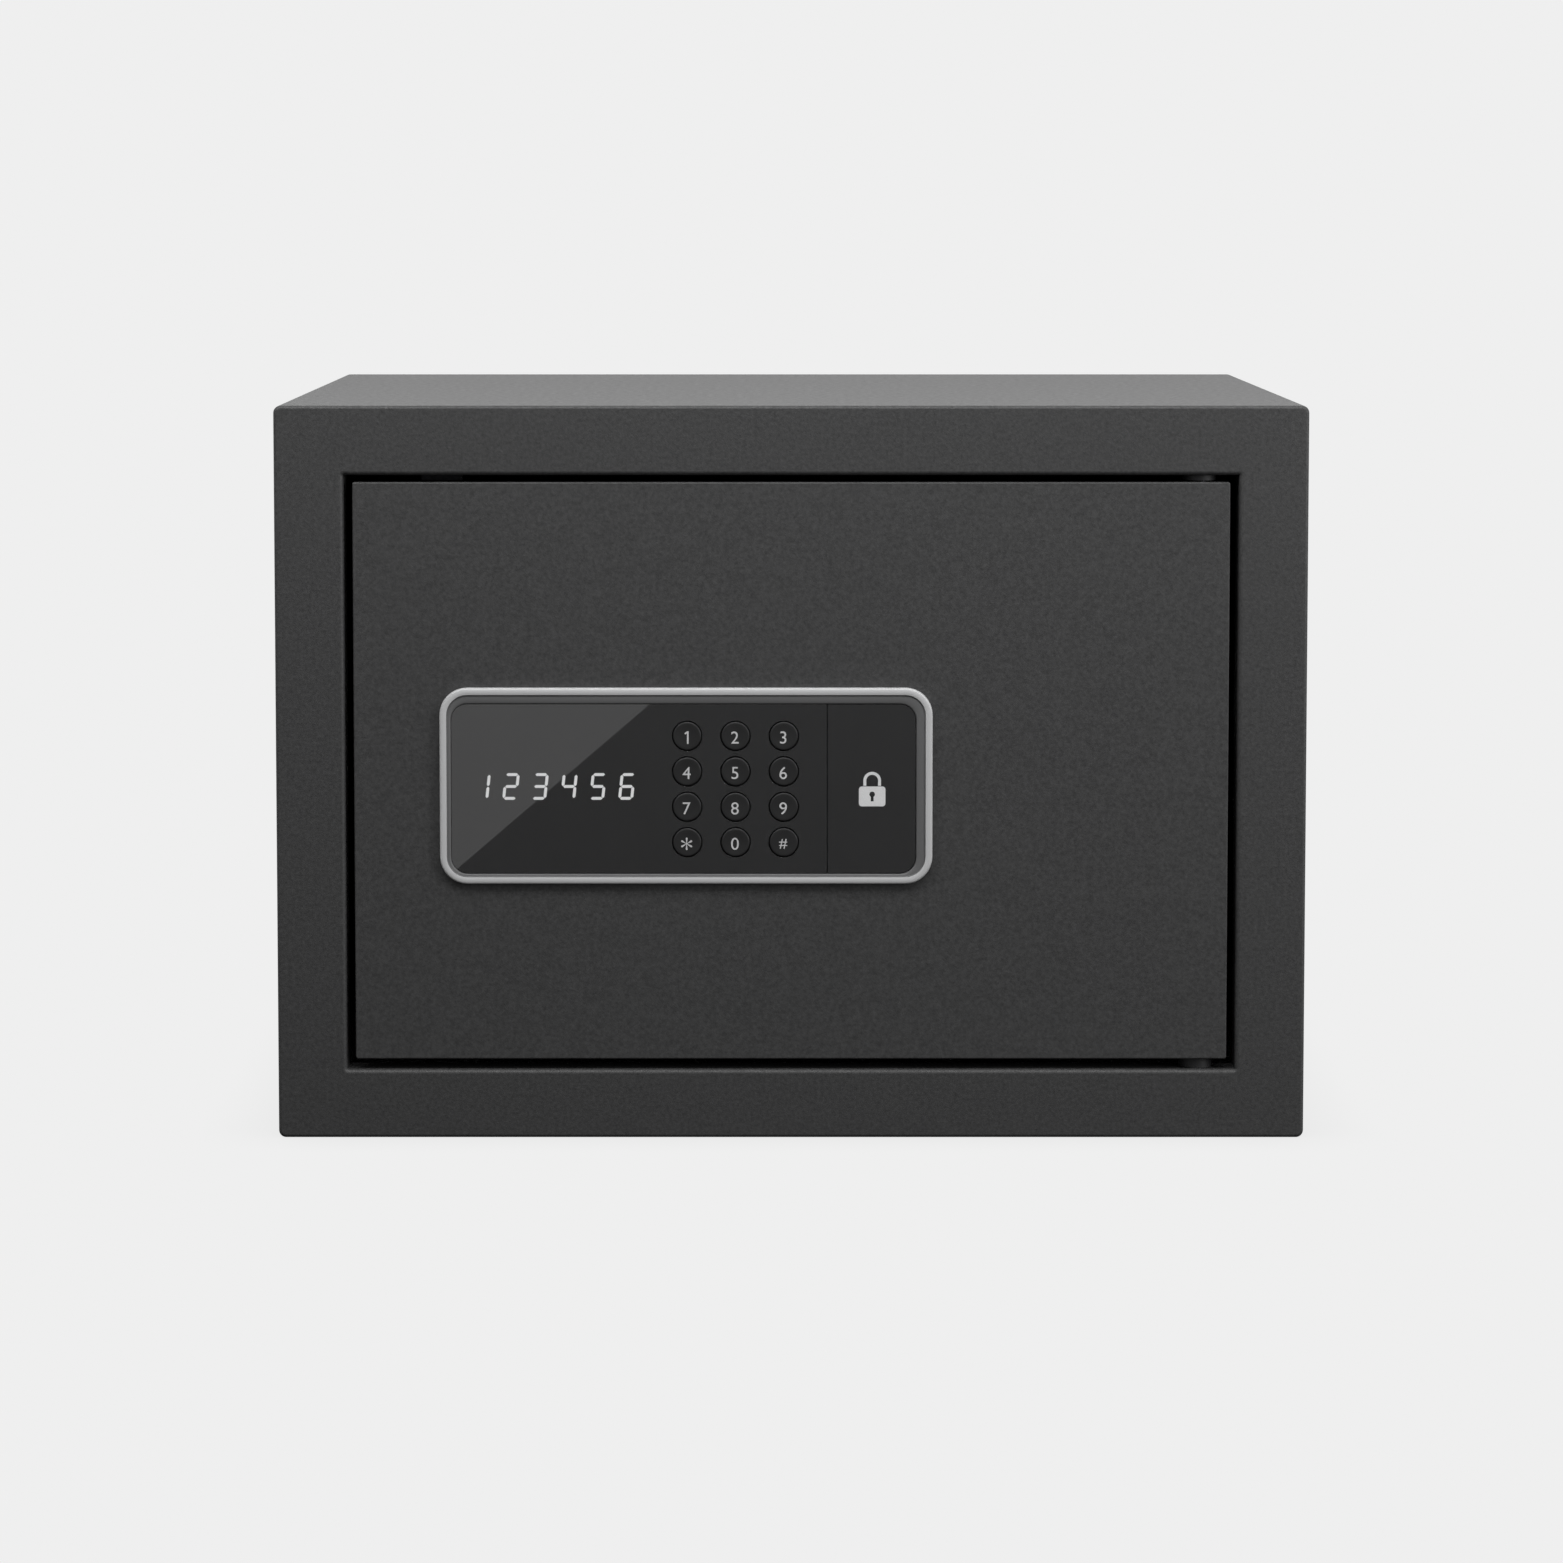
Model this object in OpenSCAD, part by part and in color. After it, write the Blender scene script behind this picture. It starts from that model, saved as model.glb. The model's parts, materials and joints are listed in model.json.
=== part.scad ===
// In-room safe: a folded steel box with an inset door on concealed pivots,
// a motor-driven bolt work and a keypad panel with a mechanical override lock.
// Millimetres. X to the right, Y into the depth, Z up; origin at the middle of the base.

/* [Body] */
// Width of the box
body_w = 350; // [345:1:380]
// Height of the box
body_h = 250; // [248:1:280]
// Depth of the box, without the panel that stands proud of the door
body_d = 300; // [280:1:400]
// Thickness of the folded steel sheet
sheet_t = 2; // [1.5:0.1:2]
// Outer radius of the folded edges
fold_r = 2.5; // [2.5:0.1:4]
// Width of the frame round the doorway
frame_border = 23.5; // [22:0.5:25]
// Distance between the two anchor holes, in the base and in the back
anchor_pitch = 180; // [120:5:240]
// Radius of an anchor hole, for a 10 mm expansion bolt
anchor_r = 6; // [5:0.5:7]
// Thickness of the felt mat on the floor
mat_t = 3; // [2:0.5:4]

/* [Door] */
// Gap between the door and the frame, at the sides
door_gap = 3; // [2.8:0.1:3]
// How far the door stands above the middle of the doorway, on its lower bush
door_lift = 0.6; // [0:0.1:0.6]
// Thickness of the door plate
door_t = 4; // [3.5:0.1:4]
// How far the door's face is set back from the frame's face
door_recess = 0.5; // [0:0.1:0.5]
// Radius of the door plate's upright front edges
door_edge_r = 0.5; // [0.3:0.1:1.5]
// Radius of a hinge pin
hinge_pin_r = 3; // [2.5:0.1:3]
// Radial running clearance of pins and shafts
running = 0.05; // [0.02:0.01:0.09]

/* [Panel] */
// Width over the bright bezel
panel_w = 167.3; // [166:0.1:168]
// Height over the bright bezel
panel_h = 66.9; // [66.6:0.1:67.2]
// Corner radius of the bezel
panel_r = 9.3; // [8:0.1:10]
// How far the bezel stands proud of the door
bezel_proud = 2.4; // [2:0.1:3]
// Radius of a key cap
key_r = 4.8; // [4.4:0.1:4.9]
// Distance between key columns
key_pitch_x = 16.4; // [16:0.1:16.6]
// Distance between key rows
key_pitch_z = 12.1; // [11.9:0.1:12.2]

/* [Bolt work] */
// Radius of a locking bolt
bolt_r = 9; // [8:0.5:9]
// How far the bolts travel
bolt_throw = 15; // [12:1:15]
// Distance between the two bolts
bolt_pitch = 100; // [95:1:105]
// Module of the drive pinion and its rack
gear_module = 1.25; // [1.25]
// Teeth of the drive pinion
gear_teeth = 12; // [12]

/* [Hidden] */
$fn = 64;
fit = 0.3;               // loose clearance between parts that don't run together
front_y = -body_d / 2;
back_y = body_d / 2;
mid_z = body_h / 2;

// Doorway and door plate
open_x = body_w / 2 - frame_border;
open_z = body_h / 2 - frame_border;
lip_y = front_y + 14;                    // rear edge of the frame's return lips
door_x = open_x - door_gap;
door_z = open_z - door_gap;              // half the door's height
door_low_z = mid_z - door_z + door_lift;
door_top_z = mid_z + door_z + door_lift;
door_y0 = front_y + door_recess;
door_y1 = door_y0 + door_t;              // rear face of the door plate

// Hinge axis, just inside the doorway's right-hand side
hinge_x = open_x - 13;
hinge_y = front_y + 8.5;
hinge_block_h = 30;
bush_r = 4.5;
bush_flange_r = 5.8;
bracket_t = 3;

// Control panel, left of the door's middle; all outlines as [x0, z0, x1, z1]
panel_x = -35.65;
panel_z = mid_z - 4.05;
bezel_out = [panel_x - panel_w / 2, panel_z - panel_h / 2, panel_x + panel_w / 2, panel_z + panel_h / 2];
ridge_w = 2.7;
ridge_in = grow(bezel_out, -ridge_w);
ridge_in_r = panel_r - ridge_w;
// The glass sits off centre in the bezel, towards the lower left
glass = bezel_out + [3.8, 3.4, -5.5, -5.4];
glass_r = 5.6;
cutout = grow(ridge_in, -0.1);
tub = grow(cutout, -fit);
tub_r = 6.5;
tub_wall = 2;
glass_t = 1.3;
glass_y0 = door_y0 - glass_t;            // face of the glass
tub_face_y = door_y0 + tub_wall;         // rear of the tub's front plate
tub_back_y = front_y + 17;
seam_x = 12.3;                           // joint between the glass and the override cover
seam_gap = 0.3;
pcb_y0 = front_y + 7;
pcb_t = 1.6;
pcb_y1 = pcb_y0 + pcb_t;
mat_y0 = pcb_y0 - 1.2;                   // face of the silicone key mat
pcb_x0 = -112;
pcb_x1 = 10;
pcb_z0 = 93.5;
pcb_z1 = 147;
display = [-107.8, 112, -49.2, 129.6];

// Keys, from the top left: 1 2 3, 4 5 6, 7 8 9, star 0 hash
key_x0 = -35.3;
key_top_z = 138;
key_hole_r = key_r + 0.4;
key_flange_r = 5.6;
key_names = ["key_1", "key_2", "key_3", "key_4", "key_5", "key_6",
             "key_7", "key_8", "key_9", "key_star", "key_0", "key_hash"];

// Override lock behind the right-hand part of the panel
lock_x = 27.5;
lock_z = 120;
barrel_head_r = 9.5;
barrel_r = 8;
plug_r = 6;
cam_reach = 14;                          // from the lock's axis to the finger's tip
cam_half_w = 4;
bay_y0 = front_y + 7;                    // floor of the lock's bay in the tub
bay_y1 = bay_y0 + 2;

// Bolt work: one plane of 3 mm plate behind the panel
plate_y0 = front_y + 23;
plate_y1 = plate_y0 + 3;
bolt_y = (plate_y0 + plate_y1) / 2;
bolt_low_z = mid_z - bolt_pitch / 2;
bolt_high_z = mid_z + bolt_pitch / 2;
bolt_tip_x = -door_x + 1.5;              // tips stay inside the door's edge when drawn
bolt_tail_x = bolt_tip_x + 49;
bar_x0 = bolt_tip_x + 35;
bar_x1 = bar_x0 + 30;
bar_z0 = mid_z - 75;
bar_z1 = mid_z + 75;
rivet_x = bar_x0 + 7;
rivet_r = 2;
post_x = bar_x0 + 7.5;
post_low_z = bar_z0 + 7;
post_high_z = bar_z1 - 7;
post_r = 2.4;
slot_r = 2.7;
guide_x0 = -134;
guide_t = 3;

// Drive: the rack is the lower edge of the carriage's upper arm
pitch_r = gear_module * gear_teeth / 2;
gear_pressure = 20;
base_r = pitch_r * cos(gear_pressure);
tip_r = pitch_r + gear_module * 0.8;
root_r = pitch_r - gear_module * 1.1;
gear_backlash = 0.2;
gear_x = -45;
rack_pitch_z = mid_z + 60;
gear_z = rack_pitch_z - pitch_r;
rack_addendum = 0.75;
rack_root_z = rack_pitch_z + gear_module * 1.1;
shaft_r = 2.5;
gearbox = [-57, 166, -33, 190];
gearbox_y1 = front_y + 20;
motor_y = front_y + 12.5;
motor_z = 178;
motor_x1 = -7;

// Rear cover of the door, a pan open towards the door plate
cover = [-136, mid_z - 91, 128, mid_z + 91];
cover_t = 1.5;
cover_y1 = front_y + 45;
cover_y0 = cover_y1 - cover_t;           // inner face of the pan's back
post_inset = 10;
cover_post_x = [cover[0] + 14, cover[2] - post_inset];
cover_post_z = [cover[1] + post_inset, cover[3] - post_inset];
cover_post_r = 4;
cover_screw_r = 1.6;

// Battery compartment for four AA cells
cell_r = 7.1;
cell_l = 50.5;
cell_pitch = 15;
holder = [55, mid_z - 32, 115, mid_z + 32];
holder_wall = 1.5;
holder_y0 = cover_y1 - 22;
cell_y = cover_y1 - 12.5;
cell_x = 85;
rim_t = 3.5;
lid = [53.5, holder[1] - 3, 116.5, holder[3] + 1];
lid_y0 = cover_y1 + 1;
lid_t = 1.5;

// Reset button in the rear cover
reset_x = 30;
reset_z = 62;
reset_r = 3;

// Leads: centre-line points, each lead in one plane parallel to the door
lead_r = 1.6;
lead_y = front_y + 12;
power_route = [[9, 100], [18, 99.5], [30, 98.5], [40, 99.5], [50, 100.5], [60, 100]];
motor_route = [[3, 144], [3, 152], [3.5, 160], [4, 168], [3, 174.5], [0, 178], [-2.9, 178]];

steel_grey = "#3a3b3d";
inner_grey = "#4a4b4d";
zinc = "#b9bcc0";
bright = "#c9cacc";
plastic_black = "#161719";
glass_black = "#202124";

// ---------- shared shapes ----------

// Outline [x0, z0, x1, z1] grown outwards by d on all sides
function grow(box, d) = box + [-d, -d, d, d];

// Flat rectangle with round corners, from an outline
module round_rect(box, r) {
    x0 = box[0];
    z0 = box[1];
    x1 = box[2];
    z1 = box[3];
    translate([x0 + r, z0]) square([x1 - x0 - 2 * r, z1 - z0]);
    translate([x0, z0 + r]) square([x1 - x0, z1 - z0 - 2 * r]);
    for (x = [x0 + r, x1 - r], z = [z0 + r, z1 - r]) translate([x, z]) circle(r);
}

// Flat shape in X and Z, thickened from y0 to y1
module slab(y0, y1) {
    translate([0, y1, 0]) rotate([90, 0, 0]) linear_extrude(y1 - y0) children();
}

// Plain box between two corners
module block(low, high) {
    translate(low) cube(high - low);
}

// Box over an outline [x0, z0, x1, z1], from y0 to y1
module slab_box(box, y0, y1) {
    block([box[0], y0, box[1]], [box[2], y1, box[3]]);
}

module rod_x(y, z, r, x0, x1) {
    translate([x0, y, z]) rotate([0, 90, 0]) cylinder(r = r, h = x1 - x0);
}

module rod_y(x, z, r, y0, y1) {
    translate([x, y1, z]) rotate([90, 0, 0]) cylinder(r = r, h = y1 - y0);
}

module rod_z(x, y, r, z0, z1) {
    translate([x, y, z0]) cylinder(r = r, h = z1 - z0);
}

// Repeats a shape of the door's upper hinge at the lower one
module both_hinges() {
    children();
    translate([0, 0, body_h]) mirror([0, 0, 1]) children();
}

module four_posts() {
    for (x = cover_post_x, z = cover_post_z) translate([x, 0, z]) children();
}

// Smooth curve through flat points, n steps a span
function spline_at(a, b, c, d, t) =
    0.5 * (2 * b + (c - a) * t + (2 * a - 5 * b + 4 * c - d) * t * t
           + (3 * b - a - 3 * c + d) * t * t * t);
function spline(p, n) = concat(
    [for (i = [0:len(p) - 2]) for (j = [0:n - 1])
        spline_at(p[max(i - 1, 0)], p[i], p[i + 1], p[min(i + 2, len(p) - 1)], j / n)],
    [p[len(p) - 1]]);

// Round lead in the plane y, through [x, z] points
module lead(route, y, r) {
    sides = 8;
    path = spline(route, 4);
    last = len(path) - 1;
    function heading(i) = path[min(i + 1, last)] - path[max(i - 1, 0)];
    function across(i) = let (h = heading(i)) [-h[1], h[0]] / norm(h);
    points = [for (i = [0:last]) for (k = [0:sides - 1])
        let (a = 360 * k / sides, s = across(i) * r * cos(a))
        [path[i][0] + s[0], y + r * sin(a), path[i][1] + s[1]]];
    walls = [for (i = [0:last - 1]) for (k = [0:sides - 1])
        [i * sides + k, i * sides + (k + 1) % sides,
         (i + 1) * sides + (k + 1) % sides, (i + 1) * sides + k]];
    near_end = [[for (k = [sides - 1:-1:0]) k]];
    far_end = [[for (k = [0:sides - 1]) last * sides + k]];
    polyhedron(points, concat(walls, near_end, far_end));
}

// ---------- body ----------

module body_wrap() color(steel_grey) difference() {
    outer = [-body_w / 2, 0, body_w / 2, body_h];
    slab(front_y + sheet_t, back_y) difference() {
        round_rect(outer, fold_r);
        round_rect(grow(outer, -sheet_t), fold_r - sheet_t);
    }
    for (x = [-anchor_pitch / 2, anchor_pitch / 2]) rod_z(x, 0, anchor_r, -1, sheet_t + 1);
}

// Front frame with its four return lips round the doorway
module front_frame() color(steel_grey) difference() {
    union() {
        slab(front_y, front_y + sheet_t) round_rect([-body_w / 2, 0, body_w / 2, body_h], fold_r);
        lip_x = open_x + sheet_t;
        lip_z = open_z + sheet_t;
        block([-lip_x, front_y + sheet_t, mid_z - lip_z], [lip_x, lip_y, mid_z + lip_z]);
    }
    block([-open_x, front_y - 1, mid_z - open_z], [open_x, lip_y + 1, mid_z + open_z]);
    both_hinges() rod_z(hinge_x, hinge_y, bush_r, mid_z, mid_z + open_z + 2 * sheet_t);
}

module back_panel() color(steel_grey) difference() {
    inner = grow([-body_w / 2, 0, body_w / 2, body_h], -sheet_t);
    slab(back_y - sheet_t, back_y) round_rect(inner, fold_r - sheet_t);
    for (x = [-anchor_pitch / 2, anchor_pitch / 2])
        rod_y(x, mid_z, anchor_r, back_y - sheet_t - 1, back_y + 1);
}

// Felt mat, holed over the anchor bolts
module floor_mat() color("#26282b") difference() {
    inset = sheet_t + 1;
    block([-body_w / 2 + inset, front_y + 2 * inset, sheet_t],
          [body_w / 2 - inset, back_y - inset, sheet_t + mat_t]);
    for (x = [-anchor_pitch / 2, anchor_pitch / 2])
        rod_z(x, 0, anchor_r + 4, sheet_t - 1, sheet_t + mat_t + 1);
}

// Angle brackets that carry the hinge bushes, above and below the doorway
module hinge_brackets() color(steel_grey) both_hinges() difference() {
    seat_z = mid_z + open_z + sheet_t;
    union() {
        block([hinge_x - 12, front_y + sheet_t, seat_z],
              [hinge_x + 12, lip_y + 5, seat_z + bracket_t]);
        block([hinge_x - 12, front_y + sheet_t, seat_z + bracket_t],
              [hinge_x + 12, front_y + sheet_t + bracket_t, seat_z + 15]);
    }
    rod_z(hinge_x, hinge_y, bush_r, seat_z - 1, seat_z + bracket_t + 1);
}

// Flanged nylon bushes; the lower one has a thick flange, which the door rests on
module hinge_bushes() color(plastic_black) {
    hinge_bush(door_gap - door_lift - 0.4);
    translate([0, 0, body_h]) mirror([0, 0, 1]) hinge_bush(door_gap + door_lift - 0.1);
}

module hinge_bush(flange_t) {
    seat_z = mid_z + open_z;
    difference() {
        union() {
            rod_z(hinge_x, hinge_y, bush_flange_r, seat_z - flange_t, seat_z);
            rod_z(hinge_x, hinge_y, bush_r, seat_z, seat_z + sheet_t + bracket_t);
        }
        rod_z(hinge_x, hinge_y, hinge_pin_r + running, seat_z - flange_t - 1, seat_z + 8);
    }
}

// Leaf spring over the doorway that kicks the unlocked door open, as it has no handle
module kick_spring() color("#1d1e20") {
    leaf_t = 0.8;
    leaf_x0 = -126;
    leaf_x1 = leaf_x0 + 14;
    foot_y = front_y + sheet_t;
    arm_z = mid_z + open_z + sheet_t + 1.5;
    bend_y = lip_y + 0.7;
    heel_z = door_top_z - 1.5;
    tip_z = heel_z - 2.5;
    block([leaf_x0, foot_y, arm_z], [leaf_x1, foot_y + leaf_t, arm_z + 12]);
    block([leaf_x0, foot_y, arm_z], [leaf_x1, bend_y + leaf_t, arm_z + leaf_t]);
    block([leaf_x0, bend_y, heel_z], [leaf_x1, bend_y + leaf_t, arm_z + leaf_t]);
    translate([leaf_x0, 0, 0]) rotate([90, 0, 90]) linear_extrude(leaf_x1 - leaf_x0)
        polygon([[bend_y + leaf_t, heel_z], [bend_y + leaf_t, heel_z + leaf_t],
                 [door_y1 + 0.1, tip_z + leaf_t], [door_y1 + 0.1, tip_z]]);
}

// ---------- door ----------

module door_plate() color(steel_grey) difference() {
    translate([0, 0, door_low_z]) linear_extrude(2 * door_z) {
        translate([-door_x, door_y0 + door_edge_r]) square([2 * door_x, door_t - door_edge_r]);
        translate([-door_x + door_edge_r, door_y0]) square([2 * (door_x - door_edge_r), door_t]);
        for (side = [-1, 1])
            translate([side * (door_x - door_edge_r), door_y0 + door_edge_r]) circle(door_edge_r);
    }
    slab(door_y0 - 1, door_y1 + 1) round_rect(cutout, ridge_in_r);
}

// Welded blocks that hold the pins; the lower one is flush with the door plate's lower edge
module hinge_blocks() color(inner_grey) both_hinges() difference() {
    top_z = mid_z + door_z - door_lift;
    block([hinge_x - 5, door_y1, top_z - hinge_block_h], [hinge_x + 5, hinge_y + 5, top_z]);
    rod_z(hinge_x, hinge_y, hinge_pin_r, top_z - hinge_block_h - 1, top_z + 1);
}

module hinge_pins() color(zinc) both_hinges()
    rod_z(hinge_x, hinge_y, hinge_pin_r, mid_z + door_z - door_lift - hinge_block_h + 1,
          mid_z + open_z + sheet_t + bracket_t - 1);

// ---------- control panel ----------

// Bright rim with a lower inner step down to the glass
module panel_bezel() color(bright) {
    slab(door_y0 - bezel_proud, door_y0) difference() {
        round_rect(bezel_out, panel_r);
        round_rect(ridge_in, ridge_in_r);
    }
    slab(door_y0 - glass_t - 0.1, door_y0) difference() {
        round_rect(ridge_in, ridge_in_r);
        round_rect(glass, glass_r);
    }
}

module at_keys() {
    for (k = [0:11]) at_key(k) children();
}

module at_key(k) {
    translate([key_x0 + (k % 3) * key_pitch_x, 0, key_top_z - floor(k / 3) * key_pitch_z]) children();
}

// Legs of the override cover, above and below the lock
module at_cover_legs() {
    for (z = [98, 142]) translate([lock_x, 0, z]) children();
}

// Black tub behind the glass, with a bay for the lock and four fixing ears
module panel_housing() color(plastic_black) difference() {
    bay = [lock_x - 12.5, lock_z - 13, lock_x + 12.5, lock_z + 13];
    union() {
        slab(door_y0, tub_face_y) round_rect(tub, tub_r);
        slab(door_y0, tub_back_y) difference() {
            round_rect(tub, tub_r);
            round_rect(grow(tub, -tub_wall), tub_r - tub_wall);
        }
        slab_box(bay, tub_face_y, bay_y1);
        at_ears() block([-6, door_y1, -5], [6, door_y1 + 2.5, 5]);
        for (x = [pcb_x0 + 2.8, pcb_x1 - 2.8], z = [pcb_z0 + 2.8, pcb_z1 - 2.8])
            rod_y(x, z, 2.4, tub_face_y, pcb_y0);
    }
    slab_box(grow(bay, -2), door_y0 - 1, bay_y0);
    rod_y(lock_x, lock_z, barrel_r + 0.1, bay_y0 - 1, bay_y1 + 1);
    slab_box(grow(display, 0.5), door_y0 - 1, tub_face_y + 1);
    at_keys() rod_y(0, 0, key_hole_r + 0.1, door_y0 - 1, tub_face_y + 1);
    at_cover_legs() block([-3.5, door_y0 - 1, -1.2], [3.5, tub_face_y + 1, 1.2]);
    // Notches in the walls for the two leads
    block([tub[2] - tub_wall - 1, lead_y - 2.5, 97], [tub[2] + 1, tub_back_y + 1, 103]);
    block([0, lead_y - 2.5, tub[3] - tub_wall - 1], [7, tub_back_y + 1, tub[3] + 1]);
    // Stud holes in the ears
    at_ears() rod_y(0, 0, 1.7, door_y1 - 1, door_y1 + 4);
}

module at_ears() {
    for (x = [-100, 28], z = [tub[1] - 4.5, tub[3] + 4.5]) translate([x, 0, z]) children();
}

// Weld studs on the door with their nuts, four alike
module panel_nuts() color(zinc) at_ears() {
    rod_y(0, 0, 1.5, door_y1, door_y1 + 6);
    translate([0, door_y1 + 5, 0]) rotate([90, 0, 0]) cylinder(r = 3.2, h = 2.5, $fn = 6);
}

module panel_lens() color(glass_black) difference() {
    slab(glass_y0, door_y0) intersection() {
        round_rect(grow(glass, -0.1), glass_r - 0.1);
        translate([glass[0], glass[1]]) square([seam_x - seam_gap / 2 - glass[0], panel_h]);
    }
    at_keys() rod_y(0, 0, key_hole_r, glass_y0 - 1, door_y0 + 1);
}

// Snap-on cover over the override lock, flush with the glass
module override_cover() color(glass_black) {
    slab(glass_y0, door_y0 - 0.1) intersection() {
        round_rect(grow(glass, -0.25), glass_r - 0.25);
        translate([seam_x + seam_gap / 2, glass[1]]) square([panel_w, panel_h]);
    }
    at_cover_legs() block([-3, door_y0 - 0.1, -0.7], [3, tub_face_y + 1, 0.7]);
}

// Key cap with its retaining flange and stem
module key_cap(k) color(plastic_black) at_key(k) {
    rod_y(0, 0, key_r, glass_y0 - 0.15, tub_face_y + 0.1);
    rod_y(0, 0, key_flange_r, tub_face_y + 0.1, tub_face_y + 1.3);
    rod_y(0, 0, 3, tub_face_y + 1.3, tub_face_y + 2);
}

module key_mat() color("#c9ccd0") {
    margin = 7.5;
    block([key_x0 - margin, mat_y0, key_top_z - 3 * key_pitch_z - margin + 1.5],
          [key_x0 + 2 * key_pitch_x + margin - 1.5, pcb_y0, key_top_z + margin - 1.5]);
}

// Circuit board with its processor and two lead sockets
module panel_pcb() color("#1d5a35") {
    block([pcb_x0, pcb_y0, pcb_z0], [pcb_x1, pcb_y1, pcb_z1]);
    block([-36, pcb_y1, 114], [-24, pcb_y1 + 1.4, 126]);
    block([-4, pcb_y1, 112], [2, pcb_y1 + 2, 124]);
    block([2, pcb_y1, 96.5], [9, lead_y + 3, 103.5]);
    block([-1, pcb_y1, 137], [7, lead_y + 3, 144]);
}

module display_module() color("#2b2c2f") slab_box(display, door_y0 + 0.1, pcb_y0);

module buzzer() color(plastic_black) difference() {
    rod_y(-58, 138, 6, pcb_y1, pcb_y1 + 5);
    rod_y(-58, 138, 1, pcb_y1 + 3, pcb_y1 + 6);
}

// ---------- override lock ----------

module lock_barrel() color(zinc) difference() {
    union() {
        rod_y(lock_x, lock_z, barrel_head_r, door_y0 + 0.3, bay_y0);
        rod_y(lock_x, lock_z, barrel_r, bay_y0, plate_y0 - 0.2);
    }
    rod_y(lock_x, lock_z, plug_r + running, front_y, plate_y0 + 1);
}

module lock_nut() color(zinc) difference() {
    translate([lock_x, bay_y1 + 5, lock_z]) rotate([90, 0, 0]) cylinder(r = 12, h = 5, $fn = 6);
    rod_y(lock_x, lock_z, barrel_r, bay_y1 - 1, bay_y1 + 6);
}

// Plug with its keyway, and a tapped hole for the cam screw
module lock_plug() color("#d3c48a") difference() {
    rod_y(lock_x, lock_z, plug_r, door_y0 + 0.4, plate_y0);
    block([lock_x - 4, front_y, lock_z - 0.8], [lock_x + 3, door_y0 + 6, lock_z + 0.8]);
    rod_y(lock_x, lock_z, rivet_r, plate_y0 - 8, plate_y0 + 1);
}

// Finger that draws the bolts when the override key is turned
module lock_cam() color(zinc) slab(plate_y0, plate_y1) difference() {
    union() {
        translate([lock_x, lock_z]) circle(7);
        translate([lock_x - cam_reach, lock_z - cam_half_w]) square([cam_reach, 2 * cam_half_w]);
    }
    translate([lock_x, lock_z]) circle(rivet_r);
}

module cam_screw() color(zinc) {
    rod_y(lock_x, lock_z, rivet_r, plate_y0 - 7, plate_y1);
    rod_y(lock_x, lock_z, 4, plate_y1, plate_y1 + 2.2);
}

// ---------- bolt work ----------

// Welded angle with a bore for each bolt
module bolt_guide() color(inner_grey) difference() {
    low_z = mid_z - 68;
    high_z = mid_z + 68;
    union() {
        block([guide_x0, door_y1, low_z], [guide_x0 + guide_t, bolt_y + bolt_r + 4, high_z]);
        block([guide_x0 + guide_t, door_y1, low_z], [guide_x0 + 9, door_y1 + guide_t, high_z]);
    }
    for (z = [bolt_low_z, bolt_high_z])
        rod_x(bolt_y, z, bolt_r + running, guide_x0 - 1, guide_x0 + guide_t + 1);
}

// Shouldered posts that the carriage slides on
module carriage_posts() color(zinc) for (z = [post_low_z, post_high_z]) {
    rod_y(post_x, z, 4, door_y1, plate_y0 - 0.2);
    rod_y(post_x, z, post_r, plate_y0 - 0.2, plate_y1 + 3);
}

module carriage_clips() color(zinc) for (z = [post_low_z, post_high_z])
    slab(plate_y1 + 0.4, plate_y1 + 1.2) difference() {
        translate([post_x, z]) circle(5);
        translate([post_x, z]) circle(post_r);
    }

// One tooth of the rack, hanging from the arm, about its own centre line
module rack_tooth() {
    half = PI * gear_module / 4 - gear_backlash / 4;
    top = rack_root_z - rack_pitch_z;
    slope = tan(gear_pressure);
    polygon([[-half - top * slope, top + 0.5], [-half - top * slope, top],
             [-half + rack_addendum * slope, -rack_addendum],
             [half - rack_addendum * slope, -rack_addendum],
             [half + top * slope, top], [half + top * slope, top + 0.5]]);
}

// Cut plate: upright bar, upper arm with the rack, lower arm with the override tab
module bolt_carriage() color(zinc) slab(plate_y0, plate_y1) difference() {
    arm_end = gear_x + 23;
    tab_x0 = lock_x + cam_half_w + fit;
    union() {
        translate([bar_x0, bar_z0]) square([bar_x1 - bar_x0, bar_z1 - bar_z0]);
        translate([bar_x1 - 1, rack_root_z]) square([arm_end - bar_x1 + 1, mid_z + 70 - rack_root_z]);
        for (k = [-1:5])
            translate([gear_x + k * PI * gear_module, rack_pitch_z]) rack_tooth();
        translate([bar_x1 - 1, mid_z - 27]) square([tab_x0 + 4 - bar_x1 + 1, 7]);
        translate([tab_x0, mid_z - 21]) square([4, 7]);
        translate([bar_x1 - 1, mid_z - 3]) square([10, 6]);
    }
    for (z = [post_low_z, post_high_z]) {
        for (x = [post_x, post_x + bolt_throw]) translate([x, z]) circle(slot_r);
        translate([post_x, z - slot_r]) square([bolt_throw, 2 * slot_r]);
    }
    for (z = [bolt_low_z, bolt_high_z]) translate([rivet_x, z]) circle(rivet_r);
    for (z = [mid_z - 24, mid_z + 24]) translate([(bar_x0 + bar_x1) / 2, z]) circle(8);
}

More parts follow.
